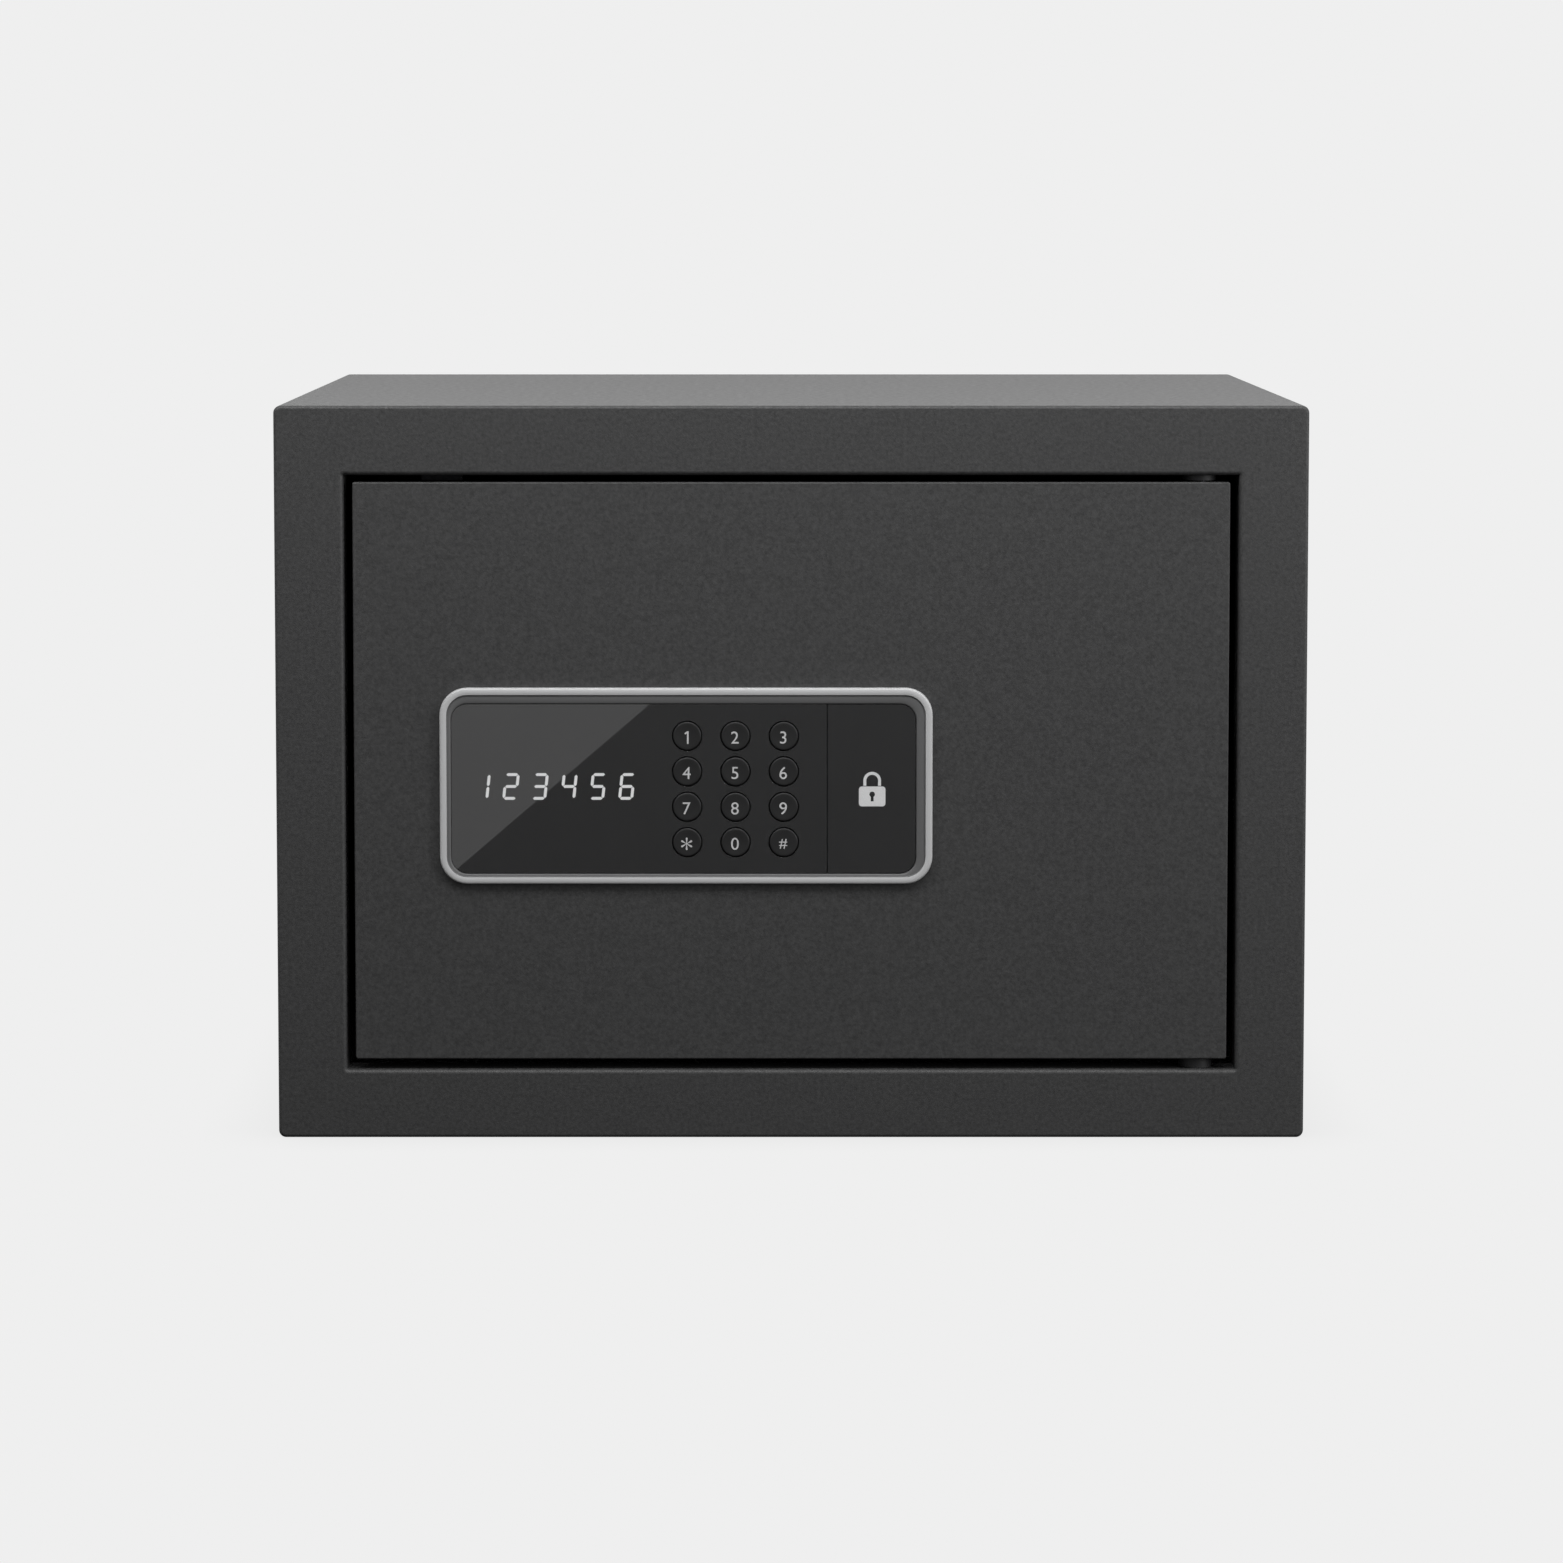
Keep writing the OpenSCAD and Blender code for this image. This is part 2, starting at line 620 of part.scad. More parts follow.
// Round bolts, slotted at the tail to grip the carriage
module locking_bolts() color(bright) for (z = [bolt_low_z, bolt_high_z]) difference() {
    tip_chamfer = 1.2;
    translate([bolt_tip_x, bolt_y, z]) rotate([0, 90, 0]) rotate_extrude()
        polygon([[0, 0], [bolt_r - tip_chamfer, 0], [bolt_r, tip_chamfer],
                 [bolt_r, bolt_tail_x - bolt_tip_x], [0, bolt_tail_x - bolt_tip_x]]);
    block([bar_x0, plate_y0, z - bolt_r - 1], [bolt_tail_x + 1, plate_y1, z + bolt_r + 1]);
    rod_y(rivet_x, z, rivet_r, bolt_y - bolt_r - 1, bolt_y + bolt_r + 1);
}

module bolt_rivets() color(zinc) for (z = [bolt_low_z, bolt_high_z])
    rod_y(rivet_x, z, rivet_r, bolt_y - bolt_r + 0.6, bolt_y + bolt_r - 0.6);

// ---------- drive ----------

module gearbox() color("#e4e2da") difference() {
    slab_box(gearbox, door_y1, gearbox_y1);
    rod_y(gear_x, gear_z, shaft_r + running, gearbox_y1 - 8.5, gearbox_y1 + 1);
    for (z = [gearbox[1] + 3.5, gearbox[3] - 3.5])
        rod_y(gearbox[0] + 3.5, z, 1.5, door_y1 + 1, gearbox_y1 + 1);
}

module gearbox_screws() color(zinc) for (z = [gearbox[1] + 3.5, gearbox[3] - 3.5]) {
    rod_y(gearbox[0] + 3.5, z, 1.5, door_y1 + 1, gearbox_y1);
    rod_y(gearbox[0] + 3.5, z, 2.8, gearbox_y1, gearbox_y1 + 1.4);
}

// Flat-sided can motor with its terminal block
module motor() color("#a9acb0") {
    intersection() {
        rod_x(motor_y, motor_z, 10, gearbox[2], motor_x1);
        block([gearbox[2], motor_y - 7.5, motor_z - 10], [motor_x1, motor_y + 7.5, motor_z + 10]);
    }
    block([motor_x1, motor_y - 3.5, motor_z - 4], [-3, motor_y + 3.5, motor_z + 4]);
}

// Half the angle of a pinion tooth at a radius, in degrees
function tooth_half(r) =
    let (a = acos(min(1, base_r / max(r, base_r))),
         inv = tan(a) * 180 / PI - a,
         inv0 = tan(gear_pressure) * 180 / PI - gear_pressure,
         pitch_half = (PI * gear_module / 2 - gear_backlash) / (2 * pitch_r) * 180 / PI)
    pitch_half + inv0 - inv;

module pinion_outline() {
    steps = 5;
    radii = concat([root_r], [for (i = [0:steps]) base_r + (tip_r - base_r) * i / steps]);
    polygon([for (t = [0:gear_teeth - 1])
        let (middle = 90 + (t + 0.5) * 360 / gear_teeth)
        for (side = [-1, 1], i = [0:len(radii) - 1])
            let (r = radii[side < 0 ? i : len(radii) - 1 - i], a = middle + side * tooth_half(r))
            [r * cos(a), r * sin(a)]]);
}

// Pinion moulded on its shaft
module drive_pinion() color("#f0eee6") {
    slab(plate_y0 - 0.5, plate_y1 + 0.5) translate([gear_x, gear_z]) pinion_outline();
    rod_y(gear_x, gear_z, 4.5, gearbox_y1 + 0.5, plate_y0 - 0.5);
    rod_y(gear_x, gear_z, shaft_r, gearbox_y1 - 8, plate_y1 + 2);
}

// Slotted light gate that sees the carriage's flag when the bolts are drawn
module position_sensor() color("#111214") difference() {
    x0 = bar_x1 + 4;
    union() {
        block([x0, plate_y0 - 4, mid_z - 6], [x0 + 12, plate_y1 + 4, mid_z + 6]);
        block([x0 + 4, pcb_y1, mid_z - 4], [x0 + 10, plate_y0 - 4, mid_z + 4]);
    }
    block([x0 - 1, plate_y0 - 1.5, mid_z - 7], [x0 + 8, plate_y1 + 1.5, mid_z + 7]);
}

// ---------- rear of the door ----------

module door_back_cover() color(inner_grey) difference() {
    slab(door_y1, cover_y1) round_rect(cover, 4);
    slab(door_y1 - 1, cover_y0) round_rect(grow(cover, -cover_t), 4 - cover_t);
    for (z = [bolt_low_z, bolt_high_z])
        rod_x(bolt_y, z, bolt_r + 0.6, cover[0] - 1, cover[0] + cover_t + 1);
    slab_box(grow(holder, fit), cover_y0 - 1, cover_y1 + 1);
    rod_y(reset_x, reset_z, reset_r + fit, cover_y0 - 1, cover_y1 + 1);
    four_posts() rod_y(0, 0, cover_screw_r + 0.5, cover_y0 - 1, cover_y1 + 1);
}

module cover_posts() color(zinc) four_posts() difference() {
    rod_y(0, 0, cover_post_r, door_y1, cover_y0);
    rod_y(0, 0, cover_screw_r, cover_y0 - 12, cover_y0 + 1);
}

module cover_screws() color(zinc) four_posts() {
    rod_y(0, 0, cover_screw_r, cover_y0 - 11, cover_y1);
    rod_y(0, 0, 3.8, cover_y1, cover_y1 + 1.8);
}

// Tub for the cells, with a rim outside the cover that the lid slides in
module battery_holder() color(plastic_black) difference() {
    rim = grow(holder, 4);
    union() {
        slab_box(holder, holder_y0, cover_y1);
        slab_box(rim, cover_y1, cover_y1 + rim_t);
        // Socket for the power lead, under the tub
        block([60, lead_y - 3, 96], [68, holder_y0, 104]);
    }
    slab_box(grow(holder, -holder_wall), holder_y0 + holder_wall, cover_y1 + rim_t + 1);
    slab_box([holder[0] + holder_wall, rim[1] - 1, holder[2] - holder_wall, holder[3] - 3],
             cover_y1 + 1 - 0.2, cover_y1 + rim_t + 1);
    // Grooves for the lid, open at the bottom
    slab_box([lid[0] - 0.2, rim[1] - 1, lid[2] + 0.2, lid[3] + 0.2],
             lid_y0 - 0.2, lid_y0 + lid_t + 0.2);
}

module battery_cells() color("#3c6a48") for (k = [0:3]) {
    z = mid_z + (k - 1.5) * cell_pitch;
    flip = k % 2 == 0 ? 1 : -1;
    rod_x(cell_y, z, cell_r, cell_x - cell_l / 2 + (flip < 0 ? 1.2 : 0),
          cell_x + cell_l / 2 - (flip > 0 ? 1.2 : 0));
    if (flip > 0) rod_x(cell_y, z, 2.7, cell_x + cell_l / 2 - 1.2, cell_x + cell_l / 2);
    else rod_x(cell_y, z, 2.7, cell_x - cell_l / 2, cell_x - cell_l / 2 + 1.2);
}

// Contact plates at both ends, each with a spring seat against its cell
module battery_contacts() color(zinc) for (k = [0:3]) {
    z = mid_z + (k - 1.5) * cell_pitch;
    x0 = holder[0] + holder_wall;
    x1 = holder[2] - holder_wall;
    block([x0, cell_y - 6, z - 5], [x0 + 0.6, cell_y + 6, z + 5]);
    rod_x(cell_y, z, 3.5, x0 + 0.6, cell_x - cell_l / 2);
    block([x1 - 0.6, cell_y - 6, z - 5], [x1, cell_y + 6, z + 5]);
    rod_x(cell_y, z, 3.5, cell_x + cell_l / 2, x1 - 0.6);
}

module battery_lid() color(plastic_black) {
    slab_box(lid, lid_y0, lid_y0 + lid_t);
    for (k = [0:3])
        block([cell_x - 10, lid_y0 + lid_t, lid[3] - 12 - 3 * k],
              [cell_x + 10, lid_y0 + lid_t + 0.8, lid[3] - 10.8 - 3 * k]);
}

// Small board with a tact switch, on two spacers under the cover
module reset_switch() color("#1d5a35") {
    board_y1 = cover_y0 - 8.5;
    block([reset_x - 15, board_y1 - 1.6, reset_z - 8], [reset_x + 15, board_y1, reset_z + 8]);
    for (x = [reset_x - 11, reset_x + 11]) rod_y(x, reset_z, 2.5, board_y1, cover_y0);
    block([reset_x - 3, board_y1, reset_z - 3], [reset_x + 3, cover_y0 - 3.5, reset_z + 3]);
}

module reset_button() color("#b3231c") {
    rod_y(reset_x, reset_z, reset_r, cover_y0 - 2.1, cover_y1 + 1.6);
    rod_y(reset_x, reset_z, reset_r + 1.2, cover_y0 - 1.6, cover_y0 - 0.3);
}

module power_lead() color("#7a1f1c") lead(power_route, lead_y, lead_r);

module motor_lead() color("#2a2b2e") lead(motor_route, lead_y, lead_r);

// ---------- nodes ----------

body_wrap();
front_frame();
back_panel();
floor_mat();
hinge_brackets();
hinge_bushes();
kick_spring();
door_plate();
hinge_blocks();
hinge_pins();
panel_bezel();
panel_housing();
panel_lens();
key_mat();
panel_pcb();
display_module();
buzzer();
panel_nuts();
override_cover();
lock_barrel();
lock_nut();
lock_plug();
lock_cam();
cam_screw();
bolt_guide();
carriage_posts();
carriage_clips();
bolt_carriage();
locking_bolts();
bolt_rivets();
gearbox();
gearbox_screws();
motor();
drive_pinion();
position_sensor();
door_back_cover();
cover_posts();
cover_screws();
battery_holder();
battery_cells();
battery_contacts();
battery_lid();
reset_switch();
reset_button();
power_lead();
motor_lead();
for (k = [0:11]) key_cap(k);
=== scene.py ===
"""Looks of the in-room safe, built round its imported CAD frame. Metres, in the CAD model's own frame."""
import json
import math

import bmesh
import bpy
from mathutils import Matrix, Vector, noise


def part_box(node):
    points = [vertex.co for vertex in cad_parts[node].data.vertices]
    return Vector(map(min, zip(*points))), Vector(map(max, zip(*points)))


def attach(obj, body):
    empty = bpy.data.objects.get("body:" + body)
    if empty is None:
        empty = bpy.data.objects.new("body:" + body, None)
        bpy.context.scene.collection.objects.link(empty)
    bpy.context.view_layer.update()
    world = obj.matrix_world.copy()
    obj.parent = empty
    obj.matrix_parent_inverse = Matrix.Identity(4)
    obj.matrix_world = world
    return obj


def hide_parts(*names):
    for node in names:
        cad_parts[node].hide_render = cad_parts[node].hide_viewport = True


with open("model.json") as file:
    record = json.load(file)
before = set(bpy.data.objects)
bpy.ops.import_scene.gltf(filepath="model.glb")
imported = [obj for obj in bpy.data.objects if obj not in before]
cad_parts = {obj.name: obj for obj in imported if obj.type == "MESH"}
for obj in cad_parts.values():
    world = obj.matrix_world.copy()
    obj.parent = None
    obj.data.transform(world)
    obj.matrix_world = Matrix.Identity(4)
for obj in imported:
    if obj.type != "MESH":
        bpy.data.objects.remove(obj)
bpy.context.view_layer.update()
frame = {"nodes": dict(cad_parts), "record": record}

NODES = frame["nodes"]
MM = 0.001

# ---------- sizes that the frame's boxes don't give, in metres ----------

SHEET = 2 * MM                # folded steel sheet
FOLD_R = 2.5 * MM             # outer radius of the box's folds
FRAME_EDGE_R = 1.2 * MM       # front edges of the box
MOUTH_R = 1.5 * MM            # rounded edge of the doorway
LIP_DEPTH = 14 * MM           # depth of the return lips round the doorway
FRAME_BORDER = 23.5 * MM      # width of the frame round the doorway
DOOR_EDGE_R = 0.5 * MM
CORNER_R = 0.3 * MM           # nearly sharp corners of the door and doorway
BEZEL_R = 9.3 * MM
RIDGE_W = 2.7 * MM            # width of the bezel's bright ridge
GLASS_R = 5.6 * MM
KEY_R = 4.8 * MM
COVER_SHEET = 1.5 * MM        # folded sheet of the door's rear cover
PRINT_T = 0.02 * MM           # how far print and lit segments stand proud
CORNER_STEPS = 8

BODY_LOW, BODY_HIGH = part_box("front_frame")
BACK_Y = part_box("back_panel")[1].y
FRONT_Y = BODY_LOW.y
DOOR_LOW, DOOR_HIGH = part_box("door_plate")
BEZEL_LOW, BEZEL_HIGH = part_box("panel_bezel")
LENS_LOW, LENS_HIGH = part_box("panel_lens")
COVER_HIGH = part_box("override_cover")[1]
HINGE_LOW, HINGE_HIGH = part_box("hinge_bushes")
HINGE_X = (HINGE_LOW.x + HINGE_HIGH.x) / 2
HINGE_Y = (HINGE_LOW.y + HINGE_HIGH.y) / 2
GLASS_Y = LENS_LOW.y


# ---------- meshes ----------

def outline(low, high):
    """[x0, z0, x1, z1] of a box, seen from the front."""
    return [low.x, low.z, high.x, high.z]


def grow(box, d):
    """An outline moved out by d on all four sides."""
    return [box[0] - d, box[1] - d, box[2] + d, box[3] + d]


def ring(box, radius, y):
    """Round-cornered rectangle [x0, z0, x1, z1] at depth y, from its lower left corner."""
    x0, z0, x1, z1 = box
    centres = (
        (x0 + radius, z0 + radius, 180),
        (x1 - radius, z0 + radius, 270),
        (x1 - radius, z1 - radius, 0),
        (x0 + radius, z1 - radius, 90),
    )
    points = []
    for x, z, start in centres:
        for i in range(CORNER_STEPS + 1):
            a = math.radians(start + 90 * i / CORNER_STEPS)
            points.append((x + radius * math.cos(a), y, z + radius * math.sin(a)))
    return points


def inset_rings(box, radius, steps):
    """One ring for each (inset, y) in steps."""
    return [ring(grow(box, -inset), radius - inset, y) for inset, y in steps]


def quarter(start, end, bulge_first, count=5):
    """(inset, y) steps of a quarter ellipse; bulge_first keeps the inset still at first."""
    steps = []
    for i in range(count + 1):
        a = math.pi / 2 * i / count
        slow, fast = 1 - math.cos(a), math.sin(a)
        u, v = (slow, fast) if bulge_first else (fast, slow)
        steps.append((start[0] + (end[0] - start[0]) * u, start[1] + (end[1] - start[1]) * v))
    return steps


def loft(rings, closed):
    """Points and faces of a skin over rings: closed on itself like a tyre, or with its two ends filled."""
    count = len(rings[0])
    points = [p for r in rings for p in r]
    faces = []
    for i in range(len(rings) if closed else len(rings) - 1):
        a, b = i * count, (i + 1) % len(rings) * count
        for k in range(count):
            n = (k + 1) % count
            faces.append((a + k, a + n, b + n, b + k))
    if not closed:
        faces.append(tuple(range(count)))
        faces.append(tuple(range(len(points) - count, len(points))))
    return points, faces


def lathe(profile, centre, turn=None, sides=48):
    """Points and faces of a solid turned about Y; profile is (radius, y), from radius 0 to radius 0."""
    turn = turn or Matrix.Identity(3)
    points, faces = [], []
    starts = []
    for radius, y in profile:
        starts.append(len(points))
        here = 1 if radius == 0 else sides
        for k in range(here):
            a = math.tau * k / sides
            local = turn @ Vector((radius * math.cos(a), y, radius * math.sin(a)))
            points.append(tuple(Vector(centre) + local))
    for i in range(len(profile) - 1):
        a, b = starts[i], starts[i + 1]
        one, two = profile[i][0] == 0, profile[i + 1][0] == 0
        for k in range(sides):
            n = (k + 1) % sides
            if one:
                faces.append((a, b + n, b + k))
            elif two:
                faces.append((a + k, a + n, b))
            else:
                faces.append((a + k, a + n, b + n, b + k))
    return points, faces


def merged(shapes):
    """Several (points, faces) as one."""
    points, faces = [], []
    for more_points, more_faces in shapes:
        start = len(points)
        points += more_points
        faces += [tuple(start + i for i in face) for face in more_faces]
    return points, faces


def linked(name, data):
    """A new object in the scene."""
    obj = bpy.data.objects.new(name, data)
    bpy.context.scene.collection.objects.link(obj)
    return obj


def weld(mesh, distance):
    """Joins points closer than a distance and turns all faces outward."""
    work = bmesh.new()
    work.from_mesh(mesh)
    bmesh.ops.remove_doubles(work, verts=work.verts, dist=distance)
    bmesh.ops.recalc_face_normals(work, faces=work.faces)
    work.to_mesh(mesh)
    work.free()


def build(name, shape, smooth_angle=35):
    """A mesh object from (points, faces), with outward faces and sharp edges above an angle."""
    mesh = bpy.data.meshes.new(name)
    mesh.from_pydata([tuple(p) for p in shape[0]], [], shape[1])
    weld(mesh, 1e-7)
    obj = linked(name, mesh)
    shade(obj, smooth_angle)
    return obj


def shade(obj, smooth_angle):
    """Smooth shading, with edges above an angle kept sharp."""
    obj.data.shade_smooth()
    obj.data.set_sharp_from_angle(angle=math.radians(smooth_angle))


def baked(obj):
    """Applies the object's modifiers to its mesh."""
    graph = bpy.context.evaluated_depsgraph_get()
    mesh = bpy.data.meshes.new_from_object(obj.evaluated_get(graph), depsgraph=graph)
    obj.modifiers.clear()
    obj.data = mesh


def cut(obj, shapes, smooth_angle=35):
    """Takes closed shapes out of a piece."""
    cutter = build("cutter", merged(shapes))
    step = obj.modifiers.new("cut", "BOOLEAN")
    step.operation = "DIFFERENCE"
    step.solver = "EXACT"
    step.object = cutter
    baked(obj)
    bpy.data.objects.remove(cutter)
    shade(obj, smooth_angle)


def rod(centre, radius, y0, y1, turn=None, sides=64):
    """Closed cylinder along Y, or along the axis that turn takes Y to, for cutting and simple pins."""
    return lathe([(0, y0), (radius, y0), (radius, y1), (0, y1)], centre, turn, sides)


def brick(low, high):
    """Closed box between two corners, for cutting."""
    x0, y0, z0 = low
    x1, y1, z1 = high
    rings = [[(x0, y, z0), (x1, y, z0), (x1, y, z1), (x0, y, z1)] for y in (y0, y1)]
    return loft(rings, closed=False)


TURN_TO_Z = Matrix.Rotation(math.radians(90), 3, "X")
TURN_TO_X = Matrix.Rotation(math.radians(-90), 3, "Z")


def even_normals(obj):
    """Keeps wide faces flat, so that only the narrow rounded edges catch light."""
    step = obj.modifiers.new("even_normals", "WEIGHTED_NORMAL")
    step.weight = 100
    step.keep_sharp = True


def soften(obj, width, segments=2, angle=35):
    """Rounds a hard edge; the faces round it are cleaned of the CAD's triangles first."""
    join = obj.modifiers.new("weld", "WELD")
    join.merge_threshold = 0.002 * MM
    flat = obj.modifiers.new("flat", "DECIMATE")
    flat.decimate_type = "DISSOLVE"
    flat.angle_limit = math.radians(0.5)
    edge = obj.modifiers.new("edge", "BEVEL")
    edge.width = width
    edge.segments = segments
    edge.limit_method = "ANGLE"
    edge.angle_limit = math.radians(angle)
    edge.miter_outer = "MITER_ARC"
    even_normals(obj)


def curve_mesh(name, curve):
    """Turns a curve or text into a welded mesh object."""
    holder = linked(name + "_curve", curve)
    graph = bpy.context.evaluated_depsgraph_get()
    mesh = bpy.data.meshes.new_from_object(holder.evaluated_get(graph), depsgraph=graph)
    bpy.data.objects.remove(holder)
    mesh.materials.clear()
    weld(mesh, 0.001 * MM)
    return linked(name, mesh)


def flat_curve(name, outlines, thickness):
    """Filled flat shape from closed outlines of (x, z) points."""
    curve = bpy.data.curves.new(name, "CURVE")
    curve.dimensions = "2D"
    curve.fill_mode = "BOTH"
    curve.extrude = thickness / 2
    for points in outlines:
        spline = curve.splines.new("POLY")
        spline.points.add(len(points) - 1)
        spline.use_cyclic_u = True
        for point, (x, z) in zip(spline.points, points):
            point.co = (x, z, 0, 1)
    return curve


def inlay(name, outlines, face_y, thickness):
    """Flat shape from closed outlines of (x, z) points, standing thickness proud of the face."""
    obj = curve_mesh(name, flat_curve(name, outlines, thickness))
    upright = Matrix.Translation((0, face_y - thickness / 2, 0)) @ Matrix.Rotation(math.radians(90), 4, "X")
    obj.data.transform(upright)
    shade(obj, 30)
    return obj


def tube(name, points, radius, sides=4):
    """Round wire through points."""
    curve = bpy.data.curves.new(name, "CURVE")
    curve.dimensions = "3D"
    curve.bevel_depth = radius
    curve.bevel_resolution = sides
    curve.use_fill_caps = True
    spline = curve.splines.new("POLY")
    spline.points.add(len(points) - 1)
    for point, place in zip(spline.points, points):
        point.co = (*place, 1)
    obj = curve_mesh(name, curve)
    shade(obj, 40)
    return obj


def place(obj, body, slot, finish, *stands_for):
    """Gives a new piece its finish and its CAD body; the slot argument is not used."""
    obj.data.materials.clear()
    obj.data.materials.append(finish)
    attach(obj, body)
    if stands_for:
        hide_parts(*stands_for)


# ---------- materials ----------

class Finish:
    """A procedural material. Its pattern sits in the piece's own coordinates."""

    def __init__(self, name, colour, roughness, metallic=0.0):
        self.material = bpy.data.materials.new(name)
        self.material.use_nodes = True
        self.tree = self.material.node_tree
        self.shader = self.tree.nodes["Principled BSDF"]
        self.colour = (*colour, 1)
        self.set("Base Color", self.colour)
        self.set("Roughness", roughness)
        self.set("Metallic", metallic)
        self.roughness = roughness
        self.place = self.node("ShaderNodeTexCoord").outputs["Object"]

    def set(self, socket, value):
        self.shader.inputs[socket].default_value = value

    def node(self, kind, **settings):
        made = self.tree.nodes.new(kind)
        for key, value in settings.items():
            setattr(made, key, value)
        return made

    def link(self, source, target):
        self.tree.links.new(source, target)

    def stretched(self, scale, turn=(0, 0, 0)):
        """The piece's coordinates, scaled along each axis."""
        mapping = self.node("ShaderNodeMapping")
        mapping.inputs["Scale"].default_value = scale
        mapping.inputs["Rotation"].default_value = [math.radians(a) for a in turn]
        self.link(self.place, mapping.inputs["Vector"])
        return mapping.outputs["Vector"]

    def noise(self, size, detail=2.0, rough=0.5, vector=None):
        """Cloudy noise from 0 to 1 whose blobs are about size across."""
        made = self.node("ShaderNodeTexNoise")
        made.inputs["Scale"].default_value = 1 / size
        made.inputs["Detail"].default_value = detail
        made.inputs["Roughness"].default_value = rough
        self.link(vector or self.place, made.inputs["Vector"])
        return made.outputs["Fac"]

    def cells(self, size, feature="F1", vector=None):
        """Distance to the nearest of scattered points about size apart."""
        made = self.node("ShaderNodeTexVoronoi", feature=feature)
        made.inputs["Scale"].default_value = 1 / size
        self.link(vector or self.place, made.inputs["Vector"])
        return made.outputs["Distance"]

    def remap(self, value, low, high, start=0.3, end=0.7):
        """Value taken from the range start to end into the range low to high."""
        made = self.node("ShaderNodeMapRange")
        made.inputs["From Min"].default_value = start
        made.inputs["From Max"].default_value = end
        made.inputs["To Min"].default_value = low
        made.inputs["To Max"].default_value = high
        self.link(value, made.inputs["Value"])
        return made.outputs["Result"]

    def maths(self, operation, a, b):
        """One Math node on two sockets or numbers."""
        made = self.node("ShaderNodeMath", operation=operation)
        for socket, value in zip(made.inputs, (a, b)):
            if isinstance(value, (int, float)):
                socket.default_value = value
            else:
                self.link(value, socket)
        return made.outputs["Value"]

    def mix(self, factor, first, second):
        """Colour from first to second, as factor goes from 0 to 1."""
        made = self.node("ShaderNodeMix", data_type="RGBA")
        self.link(factor, made.inputs["Factor"])
        for socket, value in ((made.inputs[6], first), (made.inputs[7], second)):
            if isinstance(value, tuple):
                socket.default_value = value
            else:
                self.link(value, socket)
        return made.outputs[2]

    def mottle(self, pattern, spread):
        """Varies the base colour by a share of itself, as pattern goes from 0.3 to 0.7."""
        dark = tuple(c * (1 - spread) for c in self.colour[:3]) + (1,)
        light = tuple(c * (1 + spread) for c in self.colour[:3]) + (1,)
        self.link(self.mix(self.remap(pattern, 0, 1), dark, light), self.shader.inputs["Base Color"])

    def wear(self, pattern, spread):
        """Varies the roughness about its own value."""
        value = self.remap(pattern, self.roughness - spread, self.roughness + spread)
        self.link(value, self.shader.inputs["Roughness"])

    def relief(self, height, depth, under=None):
        """Bump of the given depth in metres, on top of another one."""
        made = self.node("ShaderNodeBump")
        made.inputs["Strength"].default_value = 1.0
        made.inputs["Distance"].default_value = depth
        self.link(height, made.inputs["Height"])
        if under:
            self.link(under, made.inputs["Normal"])
        self.link(made.outputs["Normal"], self.shader.inputs["Normal"])
        return made.outputs["Normal"]


def powder_coat(name, colour, grain, depth):
    """Fine-textured powder coat: a pebbled skin over a slow unevenness."""
    paint = Finish(name, colour, 0.56)
    pebble = paint.noise(grain, 3, 0.6)
    speck = paint.noise(grain * 1.8, 3, 0.65)
    paint.mottle(speck, 0.32)
    paint.wear(paint.noise(grain * 3, 2), 0.06)
    swell = paint.relief(paint.noise(grain * 14, 2), depth * 1.5)
    paint.relief(pebble, depth, swell)
    return paint.material


def felt():
    """Needle felt: two crossing layers of fibres over soft lumps."""
    cloth = Finish("felt_finish", (0.018, 0.019, 0.022), 0.95)
    cloth.set("Sheen Weight", 0.35)
    cloth.set("Sheen Roughness", 0.5)
    matted = cloth.noise(3.5 * MM, 4, 0.65)
    fibres = cloth.noise(0.35 * MM, 5, 0.7, cloth.stretched((1, 0.35, 1), (0, 0, 35)))
    crossing = cloth.noise(0.35 * MM, 5, 0.7, cloth.stretched((0.35, 1, 1), (0, 0, -20)))
    tangle = cloth.maths("MAXIMUM", fibres, crossing)
    cloth.mottle(tangle, 0.45)
    cloth.relief(tangle, 0.25 * MM, cloth.relief(matted, 0.3 * MM))
    return cloth.material


def moulded(name, colour, roughness, grain=0.35 * MM, depth=0.006 * MM, spread=0.06):
    """Injection-moulded plastic with a spark-eroded skin."""
    plastic = Finish(name, colour, roughness)
    plastic.mottle(plastic.noise(9 * MM, 2), spread)
    plastic.wear(plastic.noise(4 * MM, 3), 0.05)
    plastic.relief(plastic.noise(grain, 3, 0.6), depth)
    return plastic.material


def plated(name, colour, roughness, blue=0.0):
    """Zinc or nickel plate: cloudy grain with faint rolling lines."""
    metal = Finish(name, colour, roughness, 1.0)
    clouds = metal.noise(2.5 * MM, 4, 0.6)
    tinted = (colour[0] * (1 - blue), colour[1], colour[2] * (1 + blue / 2), 1)
    darker = tuple(c * 0.8 for c in colour) + (1,)
    metal.link(metal.mix(metal.remap(clouds, 0, 1), darker, tinted), metal.shader.inputs["Base Color"])
    metal.wear(metal.noise(1.2 * MM, 3), 0.08)
    lines = metal.noise(0.25 * MM, 2, 0.5, metal.stretched((0.08, 1, 1)))
    metal.relief(lines, 0.002 * MM)
    return metal.material


